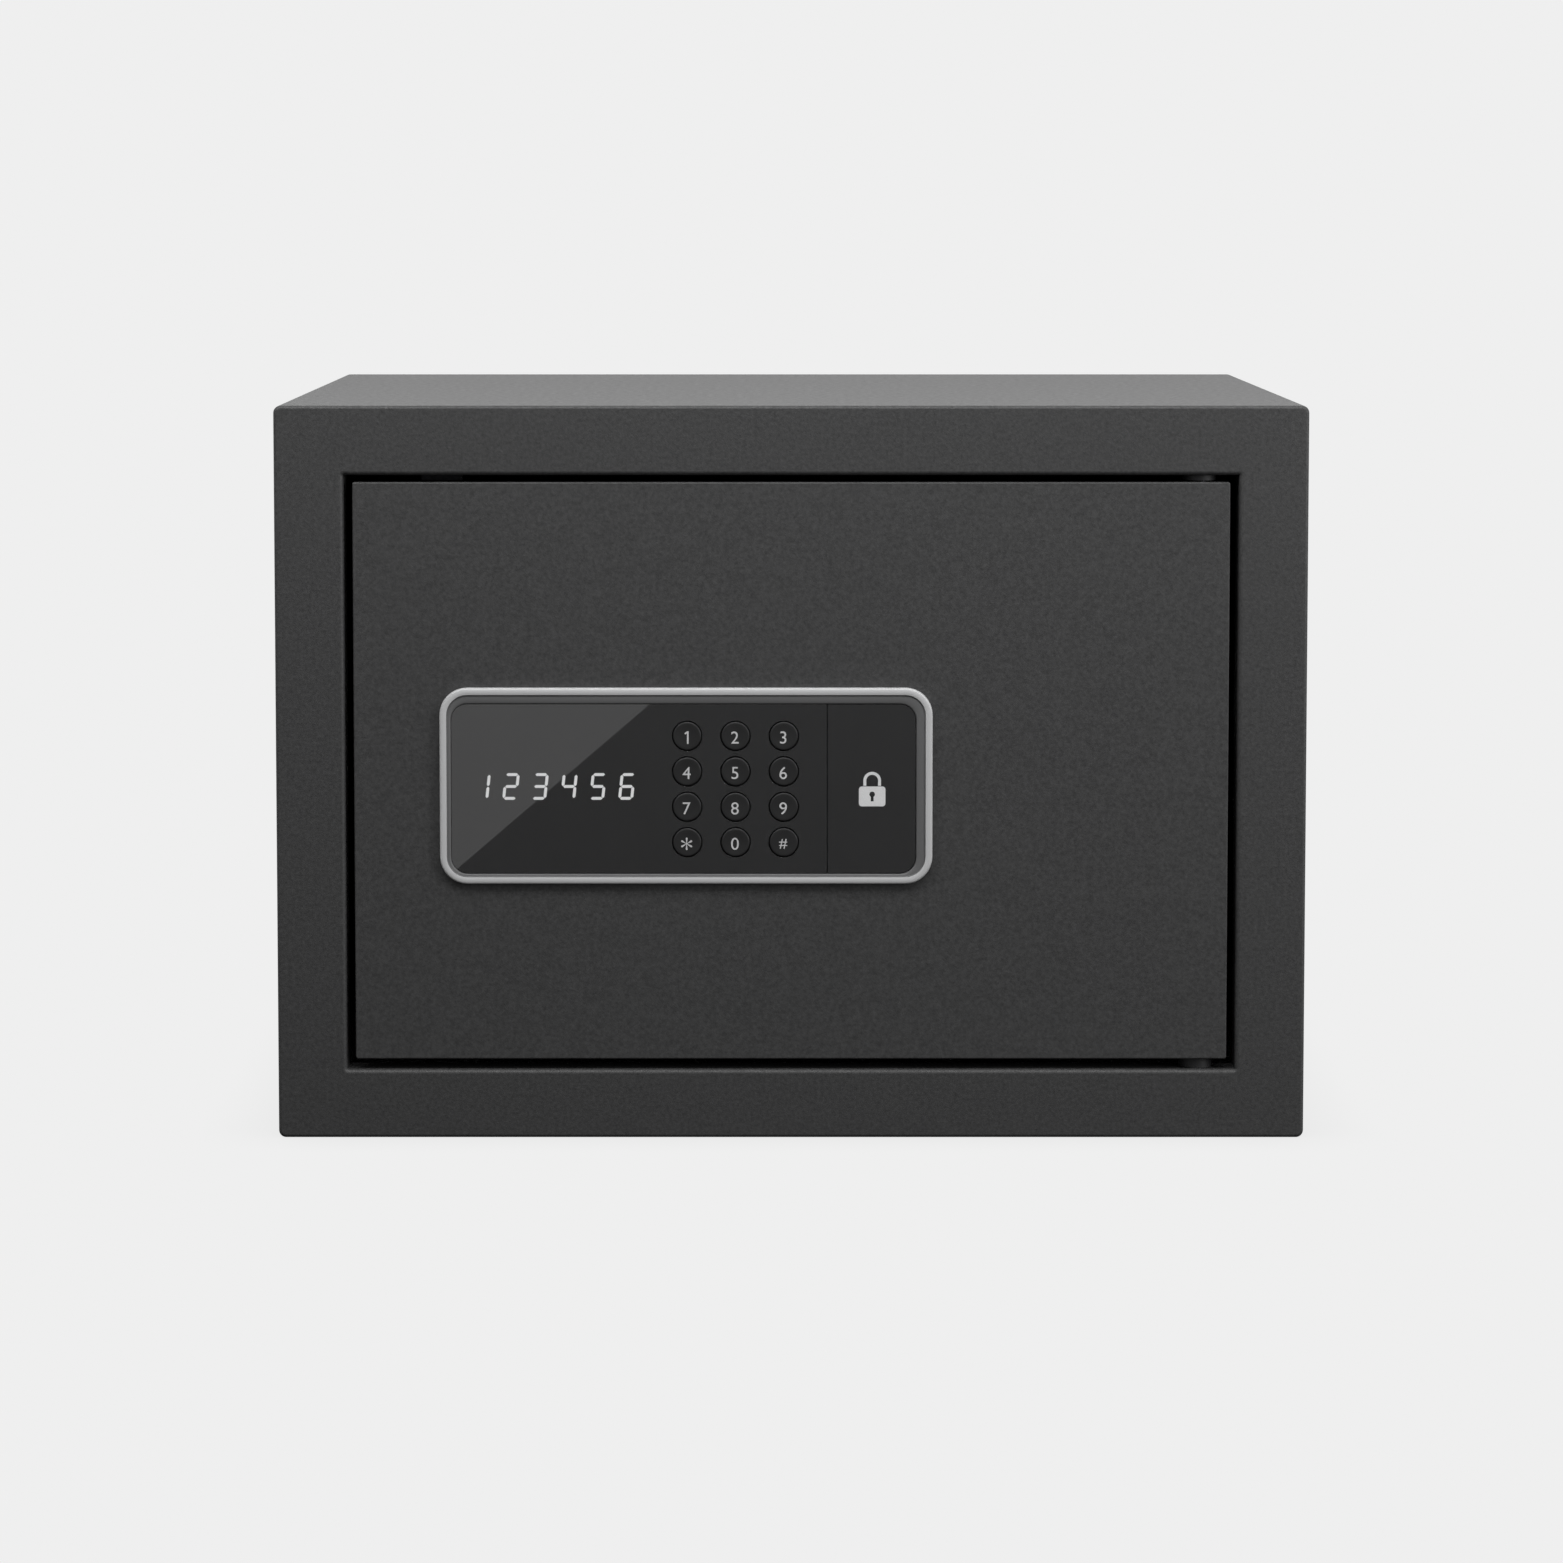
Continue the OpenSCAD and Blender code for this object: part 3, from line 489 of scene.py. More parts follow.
def turned_steel():
    """Bright bolt with tool marks round its axis, which lies along X."""
    steel = Finish("bolt_steel_finish", (0.58, 0.575, 0.565), 0.27, 1.0)
    marks = steel.noise(0.12 * MM, 2, 0.6, steel.stretched((1, 0.03, 0.03)))
    steel.mottle(steel.noise(5 * MM, 3), 0.07)
    steel.wear(steel.noise(2 * MM, 4), 0.08)
    steel.relief(marks, 0.004 * MM)
    return steel.material


def silver_paint():
    """Satin metallic lacquer with fine flakes."""
    lacquer = Finish("bezel_finish", (0.5, 0.502, 0.506), 0.5, 0.1)
    flakes = lacquer.cells(0.12 * MM)
    lacquer.mottle(flakes, 0.05)
    lacquer.wear(lacquer.noise(1.5 * MM, 3), 0.04)
    lacquer.relief(lacquer.noise(0.18 * MM, 2), 0.002 * MM)
    return lacquer.material


def bezel_step_painted_shade():
    """The bezel's inner step, coloured darker as painted shade: the darker colour stands in for the shade
    that falls on the step where it rolls down to the glass.
    """
    step = Finish("bezel_step_painted_shade_finish", (0.107, 0.1074, 0.1087), 0.55, 0.0)
    step.mottle(step.noise(0.3 * MM, 3), 0.07)
    step.wear(step.noise(1.5 * MM, 3), 0.05)
    step.relief(step.noise(0.2 * MM, 2), 0.002 * MM)
    return step.material


def gloss_acrylic():
    """Black-backed acrylic with the faintest handling haze."""
    glass = Finish("panel_gloss_finish", (0.0140, 0.0140, 0.0142), 0.006)
    glass.set("Specular IOR Level", 0.48)
    haze = glass.noise(22 * MM, 4, 0.6)
    glass.mottle(haze, 0.04)
    value = glass.remap(haze, 0.003, 0.009)
    glass.link(value, glass.shader.inputs["Roughness"])
    glass.relief(glass.noise(80 * MM, 1), 0.002 * MM)
    return glass.material


def printed(name, colour, glow=0.0):
    """Thin opaque print or a lit segment, a little uneven."""
    ink = Finish(name, colour, 0.45)
    ink.mottle(ink.noise(0.25 * MM, 3), 0.08)
    ink.wear(ink.noise(0.5 * MM, 2), 0.05)
    ink.relief(ink.noise(0.12 * MM, 2), 0.002 * MM)
    if glow:
        ink.set("Emission Color", (*colour, 1))
        ink.set("Emission Strength", glow)
    return ink.material


def circuit_board():
    """Green solder mask over copper tracks, with tinned pads."""
    board = Finish("pcb_finish", (0.008, 0.075, 0.026), 0.3)
    grid = board.stretched((1, 1, 0.35))
    tracks = board.cells(3 * MM, "DISTANCE_TO_EDGE", grid)
    track = board.remap(tracks, 1, 0, 0.10, 0.14)
    pads = board.remap(board.cells(2.2 * MM), 1, 0, 0.13, 0.17)
    mask = board.mix(track, (0.006, 0.055, 0.02, 1), (0.012, 0.12, 0.04, 1))
    board.link(board.mix(pads, mask, (0.55, 0.55, 0.53, 1)), board.shader.inputs["Base Color"])
    board.link(pads, board.shader.inputs["Metallic"])
    board.wear(board.noise(2 * MM, 3), 0.05)
    board.relief(track, 0.03 * MM)
    return board.material


def finishes():
    """One finish for each of the record's slots."""
    return {
        "body_paint": powder_coat("body_paint_finish", (0.0375, 0.0375, 0.0379), 0.7 * MM, 0.06 * MM),
        "inner_paint": powder_coat("inner_paint_finish", (0.052, 0.0525, 0.054), 0.45 * MM, 0.014 * MM),
        "felt": felt(),
        "nylon": moulded("nylon_finish", (0.74, 0.72, 0.66), 0.42),
        "spring_steel": plated("spring_steel_finish", (0.50, 0.50, 0.49), 0.25),
        "dark_steel": plated("dark_steel_finish", (0.035, 0.035, 0.038), 0.4),
        "zinc": plated("zinc_finish", (0.60, 0.61, 0.62), 0.34, 0.05),
        "bezel": silver_paint(),
        "panel_gloss": gloss_acrylic(),
        "matte_black": moulded("matte_black_finish", (0.016, 0.016, 0.017), 0.55),
        "key_black": moulded("key_black_finish", (0.0132, 0.0132, 0.0135), 0.4, 0.25 * MM, 0.003 * MM, 0.1),
        "silicone": moulded("silicone_finish", (0.42, 0.44, 0.47), 0.6),
        "pcb": circuit_board(),
        "display": printed("display_finish", (0.56, 0.562, 0.565), 0.3),
        "brass": plated("brass_finish", (0.62, 0.47, 0.22), 0.28),
        "bolt_steel": turned_steel(),
        "motor_can": plated("motor_can_finish", (0.44, 0.45, 0.46), 0.3),
        "battery": printed("battery_finish", (0.02, 0.11, 0.045)),
        "red_plastic": moulded("red_plastic_finish", (0.42, 0.018, 0.012), 0.35),
        "lead_red": moulded("lead_red_finish", (0.30, 0.012, 0.010), 0.4),
        "lead_black": moulded("lead_black_finish", (0.012, 0.012, 0.013), 0.4),
    }


FINISH = finishes()
# Painted shade: a darker colour for the bezel's inner step, standing in for the shade that falls on it
STEP_PAINTED_SHADE = bezel_step_painted_shade()
GOLD_FINISH = printed("battery_band_finish", (0.50, 0.30, 0.07))
KEY_PRINT = printed("key_print_finish", (0.52, 0.522, 0.526))
MARK_PRINT = printed("mark_finish", (0.64, 0.642, 0.645))


# ---------- body ----------

def body_shell():
    """Folded box and front frame as one welded, painted skin of steel sheet."""
    outer = outline(BODY_LOW, BODY_HIGH)
    mouth = grow(outer, -FRAME_BORDER)
    lip_y = FRONT_Y + LIP_DEPTH
    inner_r = FOLD_R - SHEET
    rings = inset_rings(outer, FOLD_R, [(0, BACK_Y - 0.3 * MM), (0.3 * MM, BACK_Y)][::-1])
    rings += inset_rings(outer, FOLD_R, quarter((0, FRONT_Y + FRAME_EDGE_R), (FRAME_EDGE_R, FRONT_Y), True))
    rolled = quarter((-MOUTH_R, FRONT_Y), (0, FRONT_Y + MOUTH_R), False)
    rings += inset_rings(mouth, CORNER_R, rolled)
    rings += inset_rings(mouth, CORNER_R, [(0, lip_y), (-SHEET, lip_y), (-SHEET, FRONT_Y + SHEET)])
    rings += [ring(grow(outer, -SHEET), inner_r, y) for y in (FRONT_Y + SHEET, BACK_Y - 0.5 * MM)]
    shell = build("body_shell", loft(rings, closed=True))
    holes = []
    pitch, radius = anchor_holes("base_anchor_holes")
    for x in (-pitch / 2, pitch / 2):
        holes.append(rod((x, 0, 0), radius, -SHEET, 2 * SHEET, TURN_TO_Z))
    bush_r = 4.5 * MM
    for z in (mouth[1], mouth[3]):
        holes.append(rod((HINGE_X, HINGE_Y, z), bush_r, -2 * SHEET, 2 * SHEET, TURN_TO_Z))
    cut(shell, holes)
    even_normals(shell)
    place(shell, "safe_body", "body_paint", FINISH["body_paint"], "body_wrap", "front_frame")
    return shell


def anchor_holes(name):
    """(pitch, radius) of a row of anchor holes, from the record's mounts."""
    dims = next(m["dims"] for m in frame["record"]["mounts"] if m["name"] == name)
    return dims["spacing_x_mm"] * MM, dims["hole_r_mm"] * MM


def floor_mat():
    """Felt mat, cut round the two base anchor holes, lying a little uneven."""
    low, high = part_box("floor_mat")
    cell = 4 * MM
    slack = 0.25 * MM
    wave = 28 * MM
    clearance = 4 * MM
    count_x = round((high.x - low.x) / cell)
    count_y = round((high.y - low.y) / cell)
    points, faces = [], []
    for j in range(count_y + 1):
        for i in range(count_x + 1):
            x = low.x + (high.x - low.x) * i / count_x
            y = low.y + (high.y - low.y) * j / count_y
            lift = slack * noise.noise(Vector((x, y, 0)) / wave)
            points.append((x, y, high.z - slack + lift))
    top_count = len(points)
    points += [(p[0], p[1], low.z) for p in points]
    row = count_x + 1
    for j in range(count_y):
        for i in range(count_x):
            a = j * row + i
            faces.append((a, a + 1, a + 1 + row, a + row))
            faces.append(tuple(top_count + k for k in (a, a + row, a + 1 + row, a + 1)))
    edge = list(range(row))
    edge += [j * row + count_x for j in range(1, count_y + 1)]
    edge += [count_y * row + i for i in range(count_x - 1, -1, -1)]
    edge += [j * row for j in range(count_y - 1, 0, -1)]
    for a, b in zip(edge, edge[1:] + edge[:1]):
        faces.append((a, b, top_count + b, top_count + a))
    mat = build("felt_mat", (points, faces), 60)
    pitch, radius = anchor_holes("base_anchor_holes")
    holes = []
    for x in (-pitch / 2, pitch / 2):
        holes.append(rod((x, 0, low.z), radius + clearance, -cell, 2 * cell, TURN_TO_Z, 40))
    cut(mat, holes, 60)
    rounded = mat.modifiers.new("cut_edge", "BEVEL")
    rounded.width = 0.8 * MM
    rounded.segments = 2
    rounded.limit_method = "ANGLE"
    rounded.angle_limit = math.radians(60)
    baked(mat)
    place(mat, "safe_body", "felt", FINISH["felt"], "floor_mat")


def kick_spring():
    """Bent leaf spring over the doorway: foot, arm, drop and a slanted toe on the door's rear face."""
    low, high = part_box("kick_spring")
    leaf = 0.8 * MM
    bend_r = 1.6 * MM
    arm_z = high.z - 12 * MM
    drop_y = high.y - leaf / 2
    foot_y = low.y + leaf / 2
    toe_y = low.y + leaf / 2 + 2.6 * MM
    route = [
        (foot_y, high.z),
        (foot_y, arm_z + leaf / 2),
        (drop_y, arm_z + leaf / 2),
        (drop_y, low.z + 3 * MM),
        (toe_y, low.z + 0.5 * MM),
    ]
    path = rounded_path(route, bend_r)
    rings = []
    for (y, z), (ny, nz) in path:
        half = leaf / 2
        a = (y + ny * half, z + nz * half)
        b = (y - ny * half, z - nz * half)
        rings.append([(low.x, *a), (high.x, *a), (high.x, *b), (low.x, *b)])
    spring = build("kick_leaf", loft(rings, closed=False))
    soften(spring, 0.15 * MM)
    place(spring, "safe_body", "dark_steel", FINISH["dark_steel"], "kick_spring")


def rounded_path(route, radius, steps=6):
    """((a, b), unit normal) along a flat route whose corners are turned with a radius."""
    points = [Vector(p) for p in route]
    path = [points[0]]
    for before, corner, after in zip(points, points[1:], points[2:]):
        back, on = (before - corner).normalized(), (after - corner).normalized()
        half = back.angle(on) / 2
        reach = radius / math.tan(half)
        centre = corner + (back + on).normalized() * (radius / math.sin(half))
        start, end = corner + back * reach - centre, corner + on * reach - centre
        for i in range(steps + 1):
            path.append(centre + start.slerp(end, i / steps).normalized() * radius)
    path.append(points[-1])
    result = []
    for i, here in enumerate(path):
        along = (path[min(i + 1, len(path) - 1)] - path[max(i - 1, 0)]).normalized()
        result.append((tuple(here), (-along.y, along.x)))
    return result


# ---------- door ----------

def door_plate():
    """Painted plate with rounded front edges and the panel's cut-out."""
    box = outline(DOOR_LOW, DOOR_HIGH)
    front, back = DOOR_LOW.y, DOOR_HIGH.y
    hole = grow(outline(BEZEL_LOW, BEZEL_HIGH), -RIDGE_W - 0.1 * MM)
    hole_r = BEZEL_R - RIDGE_W
    corner_r = CORNER_R + DOOR_EDGE_R
    rear_edge = 0.4 * MM
    rings = inset_rings(box, corner_r, [(rear_edge, back), (0, back - rear_edge)])
    rounded = quarter((0, front + DOOR_EDGE_R), (DOOR_EDGE_R, front), True)
    rings += inset_rings(box, corner_r, rounded)
    rings += [ring(hole, hole_r, y) for y in (front, back)]
    door = build("door_skin", loft(rings, closed=True))
    even_normals(door)
    place(door, "door", "body_paint", FINISH["body_paint"], "door_plate")


def between(first, last, share, fall):
    """Ring on the way from one ring to another: share of the way across, fall of the way in depth."""
    return [
        (a[0] + (b[0] - a[0]) * share, a[1] + (b[1] - a[1]) * fall, a[2] + (b[2] - a[2]) * share)
        for a, b in zip(first, last)
    ]


def bezel():
    """Satin ridge with a slightly crowned top, and a step that rolls down to the glass, its colour darkened
    as painted shade.
    """
    box = outline(BEZEL_LOW, BEZEL_HIGH)
    glass = [LENS_LOW.x - 0.1 * MM, LENS_LOW.z - 0.1 * MM, COVER_HIGH.x + 0.25 * MM, LENS_HIGH.z + 0.1 * MM]
    crest, base = BEZEL_LOW.y, BEZEL_HIGH.y
    half, edge = RIDGE_W / 2, 0.75 * MM
    crown_y = crest + 0.12 * MM
    shoulder_y = crown_y + edge
    steps = [(0, base)] + quarter((0, shoulder_y), (edge, crown_y), True, 6)
    steps.append((half, crest))
    steps += quarter((RIDGE_W - edge, crown_y), (RIDGE_W, crown_y + 0.45 * MM), False, 6)
    rings = inset_rings(box, BEZEL_R, steps)
    ridge_rings = len(rings)
    foot = rings[-1]
    rim = ring(glass, GLASS_R, GLASS_Y - 0.05 * MM)
    roll_steps = 6
    for i in range(1, roll_steps + 1):
        a = math.pi / 2 * i / roll_steps
        rings.append(between(foot, rim, math.sin(a), 1 - math.cos(a)))
    rings.append(ring(glass, GLASS_R, base))
    piece = build("bezel_rim", loft(rings, closed=True), 50)
    place(piece, "door", "bezel", FINISH["bezel"], "panel_bezel")
    piece.data.materials.append(STEP_PAINTED_SHADE)
    # The darker finish, painted shade on the step, starts a few rings before the ridge's foot and ends at
    # the glass
    count = len(rings[0])
    first, last = (ridge_rings - 5) * count, (ridge_rings + roll_steps) * count
    for face in piece.data.polygons:
        if first <= face.index < last:
            face.material_index = 1
    even_normals(piece)


def key_profile(front, back):
    """(radius, y) of a cap with a rounded edge and a dished face, its flange and its stem."""
    edge = 0.32 * MM
    dish = key_dish
    profile = [(0, front + dish(0))]
    rim = KEY_R - edge
    for i in range(1, 7):
        radius = rim * i / 6
        profile.append((radius, front + dish(radius)))
    profile += [(KEY_R - i, y) for i, y in quarter((edge, front), (0, front + edge), False, 4)[1:]]
    flange_front = back - 1.9 * MM
    profile += [(KEY_R, flange_front), (5.6 * MM, flange_front), (5.6 * MM, back - 0.7 * MM)]
    profile += [(3 * MM, back - 0.7 * MM), (3 * MM, back), (0, back)]
    return profile


def key_dish(radius):
    """Depth of the key's face at a distance from its middle."""
    rim = KEY_R - 0.32 * MM
    return 0.14 * MM * (1 - (radius / rim) ** 2)


KEYS = {"key_1": "1", "key_2": "2", "key_3": "3", "key_4": "4", "key_5": "5", "key_6": "6",
        "key_7": "7", "key_8": "8", "key_9": "9", "key_star": "*", "key_0": "0", "key_hash": "#"}
KEY_TEXT_H = 4.3 * MM
CAP_SHARE = 0.72              # height of a figure as a share of the font size
TEXT_SCALE = {"*": 1.6, "#": 0.8}
# A one with a flag, as shares of its height
ONE = [(0.2, 0), (0.33, 0), (0.33, 1), (0.22, 1), (0, 0.84), (0.06, 0.74), (0.2, 0.83)]


def key_cap(node, character):
    low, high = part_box(node)
    centre = ((low.x + high.x) / 2, 0, (low.z + high.z) / 2)
    cap = build(node + "_cap", lathe(key_profile(low.y, high.y), centre, sides=64))
    place(cap, node, "key_black", FINISH["key_black"], node)
    even_normals(cap)
    text_centre = (centre[0] - 0.2 * MM, centre[2] - 0.5 * MM)
    place(key_character(node, character, centre, text_centre, low.y), node, "display", KEY_PRINT)


def key_character(node, character, centre, text_centre, front):
    """Printed character that follows the dish of its key."""
    if character == "1":
        outline_of_one = [(x * KEY_TEXT_H, z * KEY_TEXT_H) for x, z in ONE]
        shape = flat_curve(node + "_text", [outline_of_one], PRINT_T)
    else:
        shape = bpy.data.curves.new(node + "_text", "FONT")
        shape.body = character
        shape.size = KEY_TEXT_H / CAP_SHARE * TEXT_SCALE.get(character, 1)
        shape.extrude = PRINT_T / 2
        shape.resolution_u = 6
    obj = curve_mesh(node + "_print", shape)
    points = [v.co for v in obj.data.vertices]
    middle = [(min(p[i] for p in points) + max(p[i] for p in points)) / 2 for i in (0, 1)]
    for v in obj.data.vertices:
        x = text_centre[0] + v.co.x - middle[0]
        z = text_centre[1] + v.co.y - middle[1]
        away = math.hypot(x - centre[0], z - centre[2])
        v.co = (x, front + key_dish(away) - 0.012 * MM - v.co.z, z)
    obj.data.update()
    shade(obj, 30)
    return obj


# ---------- display ----------

SEGMENTS = {"1": "bc", "2": "abged", "3": "abgcd", "4": "fgbc", "5": "afgcd", "6": "afgedc"}
DIGIT_W = 5.1 * MM
DIGIT_H = 9.1 * MM
DIGIT_PITCH = 9.84 * MM
DIGIT_SLANT = math.tan(math.radians(6.2))
SEGMENT_T = 0.98 * MM


def segment_outline(start, end):
    """Bar between two points with its ends cut at 45 degrees."""
    half, gap = SEGMENT_T / 2, 0.09 * MM
    along = (end - start).normalized()
    side = Vector((-along.y, along.x)) * half
    a, b = start + along * gap, end - along * gap
    inner_a, inner_b = a + along * half, b - along * half
    return [a, inner_a + side, inner_b + side, b, inner_b - side, inner_a - side]


def digit_outlines(character, x, z):
    """The slanting bars of one seven-segment digit, from its lower left corner."""
    half = SEGMENT_T / 2
    left, right = half, DIGIT_W - half
    low, mid, high = half, DIGIT_H / 2, DIGIT_H - half
    ends = {
        "a": ((left, high), (right, high)),
        "b": ((right, mid), (right, high)),
        "c": ((right, low), (right, mid)),
        "d": ((left, low), (right, low)),
        "e": ((left, low), (left, mid)),
        "f": ((left, mid), (left, high)),
        "g": ((left, mid), (right, mid)),
    }
    shapes = []
    for name in SEGMENTS[character]:
        start, end = (Vector(p) for p in ends[name])
        bar = segment_outline(start, end)
        shapes.append([(x + p.x + p.y * DIGIT_SLANT, z + p.y) for p in bar])
    return shapes


def display_digits():
    """Six lit digits, flat on the glass over the display module."""
    low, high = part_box("display_module")
    x = low.x - 0.2 * MM
    z = (low.z + high.z - DIGIT_H) / 2
    shapes = []
    for k, character in enumerate("123456"):
        shapes += digit_outlines(character, x + k * DIGIT_PITCH, z)
    digits = inlay("display_digits", shapes, GLASS_Y, PRINT_T)
    place(digits, "door", "display", FINISH["display"])


def arc(x, z, radius, start, end, steps=16):
    """Points along an arc between two angles in degrees."""
    angles = [math.radians(start + (end - start) * i / steps) for i in range(steps + 1)]
    return [(x + radius * math.cos(a), z + radius * math.sin(a)) for a in angles]


def padlock_mark():
    """Plain padlock outline, which marks the cover over the override lock."""
    low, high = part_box("lock_barrel")
    x, z = (low.x + high.x) / 2, (low.z + high.z) / 2 - 6 * MM
    wide, tall, r = 4.5 * MM, 6.8 * MM, 1.0 * MM
    case = arc(x + wide - r, z + tall - r, r, 0, 90, 5) + arc(x - wide + r, z + tall - r, r, 90, 180, 5)
    case += arc(x - wide + r, z + r, r, 180, 270, 5) + arc(x + wide - r, z + r, r, 270, 360, 5)
    hole_z, stem = z + 4.1 * MM, 0.5 * MM
    keyhole = arc(x, hole_z, 0.95 * MM, -60, 240) + [(x - stem, z + 1.7 * MM), (x + stem, z + 1.7 * MM)]
    outside, inside = 3.0 * MM, 2.0 * MM
    bow_z = z + tall + 2.0 * MM
    foot_z = z + tall + 0.25 * MM
    bow = [(x + outside, foot_z)] + arc(x, bow_z, outside, 0, 180) + [(x - outside, foot_z)]
    bow += [(x - inside, foot_z)] + arc(x, bow_z, inside, 180, 0) + [(x + inside, foot_z)]
    mark = inlay("padlock_mark", [case, keyhole, bow], GLASS_Y, PRINT_T)
    place(mark, "override_cover", "display", MARK_PRINT)


# ---------- rear of the door ----------

def back_cover():
    """Folded pan over the bolt work, with openings for the bolts, cells, reset button and screws."""
    low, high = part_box("door_back_cover")
    box = outline(low, high)
    wall, round_r, corner = COVER_SHEET, 2.2 * MM, 4 * MM
    outside = [(0, low.y)] + quarter((0, high.y - round_r), (round_r, high.y), True)
    inside = quarter((wall, high.y - round_r), (round_r, high.y - wall), True) + [(wall, low.y)]
    steps = outside[::-1] + [(wall, low.y)] + inside[-2::-1]
    pan = build("inner_cover", loft(inset_rings(box, corner, steps), closed=False))
    holder_low, holder_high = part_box("battery_holder")
    rim = 3.7 * MM
    cuts = [brick((holder_low.x + rim, high.y - 5 * MM, holder_low.z + rim),
                  (holder_high.x - rim, high.y + 5 * MM, holder_high.z - rim))]
    reset_low, reset_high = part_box("reset_button")
    reset_place = ((reset_low.x + reset_high.x) / 2, high.y, (reset_low.z + reset_high.z) / 2)
    cuts.append(rod(reset_place, 3.3 * MM, -5 * MM, 5 * MM))
    cuts += [rod((x, high.y, z), 2.1 * MM, -5 * MM, 5 * MM) for x, z in screw_places()]
    for z, y in bolt_places():
        cuts.append(rod((low.x, y, z), 9.6 * MM, -4 * MM, 3.5 * MM, TURN_TO_X, 96))
    cut(pan, cuts)
    even_normals(pan)
    place(pan, "door", "inner_paint", FINISH["inner_paint"], "door_back_cover")


def screw_places():
    """(x, z) of the four cover screws' axes."""
    low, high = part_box("cover_screws")
    r = 3.8 * MM
    return [(x, z) for x in (low.x + r, high.x - r) for z in (low.z + r, high.z - r)]


def bolt_places():
    """(z, y) of the two locking bolts' axes."""
    low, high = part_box("locking_bolts")
    r = (high.y - low.y) / 2
    return [(z, low.y + r) for z in (low.z + r, high.z - r)]


def cover_screws():
    """Pan-head screws with a cross recess."""
    low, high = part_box("cover_screws")
    head, dome = 3.8 * MM, 1.8 * MM
    seat = high.y - dome
    shapes = []
    for x, z in screw_places():
        profile = [(0, low.y), (0.9 * MM, low.y)]
        y = low.y + 0.6 * MM
        while y < seat - 1 * MM:
            profile += [(1.3 * MM, y), (1.6 * MM, y + 0.35 * MM)]
            y += 0.7 * MM
        profile += [(1.4 * MM, seat), (head - 0.2 * MM, seat)]
        rise = quarter((0, seat + 0.15 * MM), (head, seat + dome), True, 8)
        profile += [(head - i, y) for i, y in rise[:-1]] + [(0, seat + dome)]
        shapes.append(lathe(profile, (x, 0, z), sides=40))
    screws = build("cover_screw_set", merged(shapes))
    slots = []
    for x, z in screw_places():
        for long, wide in ((2.0, 0.42), (0.42, 2.0)):
            corner_low = (x - long * MM, seat + 0.5 * MM, z - wide * MM)
            corner_high = (x + long * MM, high.y + MM, z + wide * MM)
            slots.append(brick(corner_low, corner_high))
    cut(screws, slots[0::2])
    cut(screws, slots[1::2])
    even_normals(screws)
    place(screws, "door", "zinc", FINISH["zinc"], "cover_screws")


def cell_places():
    """(z, side of the positive end) for each cell, from the lowest."""
    low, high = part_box("battery_cells")
    r = (high.y - low.y) / 2
    pitch = (high.z - low.z - 2 * r) / 3
    return [(low.z + r + k * pitch, 1 if k % 2 == 0 else -1) for k in range(4)]


def battery_cells():
    """AA cells: sleeve with a crimped rim at both ends, a coloured band and a positive pip."""
    low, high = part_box("battery_cells")
    r, y = (high.y - low.y) / 2, (low.y + high.y) / 2
    length, pip = high.x - low.x, 1.2 * MM
    crimp = 0.6 * MM
    half = length / 2
    top = half - pip
    profile = [(0, -half + 0.25 * MM), (r - 1.6 * MM, -half + 0.25 * MM), (r - 1.3 * MM, -half)]
    profile += [(r - crimp, -half), (r, -half + crimp), (r, top - 15 * MM), (r, top - crimp)]
    profile += [(r - crimp, top), (r - 1.4 * MM, top), (r - 1.6 * MM, top - 0.3 * MM)]
    profile += [(2.7 * MM, top - 0.3 * MM), (2.7 * MM, half - 0.3 * MM), (2.4 * MM, half), (0, half)]
    middle = (low.x + high.x) / 2
    shapes = []
    for z, side in cell_places():
        turn = Matrix.Rotation(math.radians(-90 * side), 3, "Z")
        shapes.append(lathe(profile, (middle, y, z), turn))
    cells = build("aa_cells", merged(shapes), 30)
    place(cells, "door", "battery", FINISH["battery"], "battery_cells")
    cells.data.materials.append(GOLD_FINISH)
    cells.data.materials.append(FINISH["zinc"])
    for face in cells.data.polygons:
        centre = face.center
        z, side = min(cell_places(), key=lambda c: abs(c[0] - centre.z))
        along = (centre.x - middle) * side
        away = math.hypot(centre.y - y, centre.z - z)
        if away < r - 1.2 * MM:
            face.material_index = 2
        elif along > top - 15 * MM:
            face.material_index = 1


def battery_contacts():
    """Spring plates: a conical coil at each negative end and a raised pip at each positive end."""
    low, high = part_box("battery_contacts")
    cells_low, cells_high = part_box("battery_cells")
    y = (low.y + high.y) / 2
    plate_t, half_y, half_z = 0.5 * MM, 6 * MM, 5 * MM
    plates, coils = [], []
    for k, (z, side) in enumerate(cell_places()):
        for end in (-1, 1):
            wall = low.x if end < 0 else high.x
            face = wall - end * plate_t
            tip = cells_low.x if end < 0 else cells_high.x
            xs = sorted((wall, face))
            plates.append(brick((xs[0], y - half_y, z - half_z), (xs[1], y + half_y, z + half_z)))
            if end == side:
                profile = [(3.2 * MM, 0), (2.6 * MM, 0.55), (1.6 * MM, 0.9), (0, 1)]
                reach = tip - face
                pip = [(3.2 * MM, -0.1 * MM)] + [(radius, abs(reach) * 0.98 * u) for radius, u in profile]
                turn = Matrix.Rotation(math.radians(90 * end), 3, "Z")
                plates.append(lathe([(0, -0.1 * MM)] + pip, (face, y, z), turn, 32))
            else:
                coils.append(coil("contact_spring_%d" % k, (face, y, z), tip - face))
    contacts = build("contact_plates", merged(plates))
    soften(contacts, 0.1 * MM)
    place(contacts, "door", "spring_steel", FINISH["spring_steel"], "battery_contacts")
    for spring in coils:
        place(spring, "door", "spring_steel", FINISH["spring_steel"])


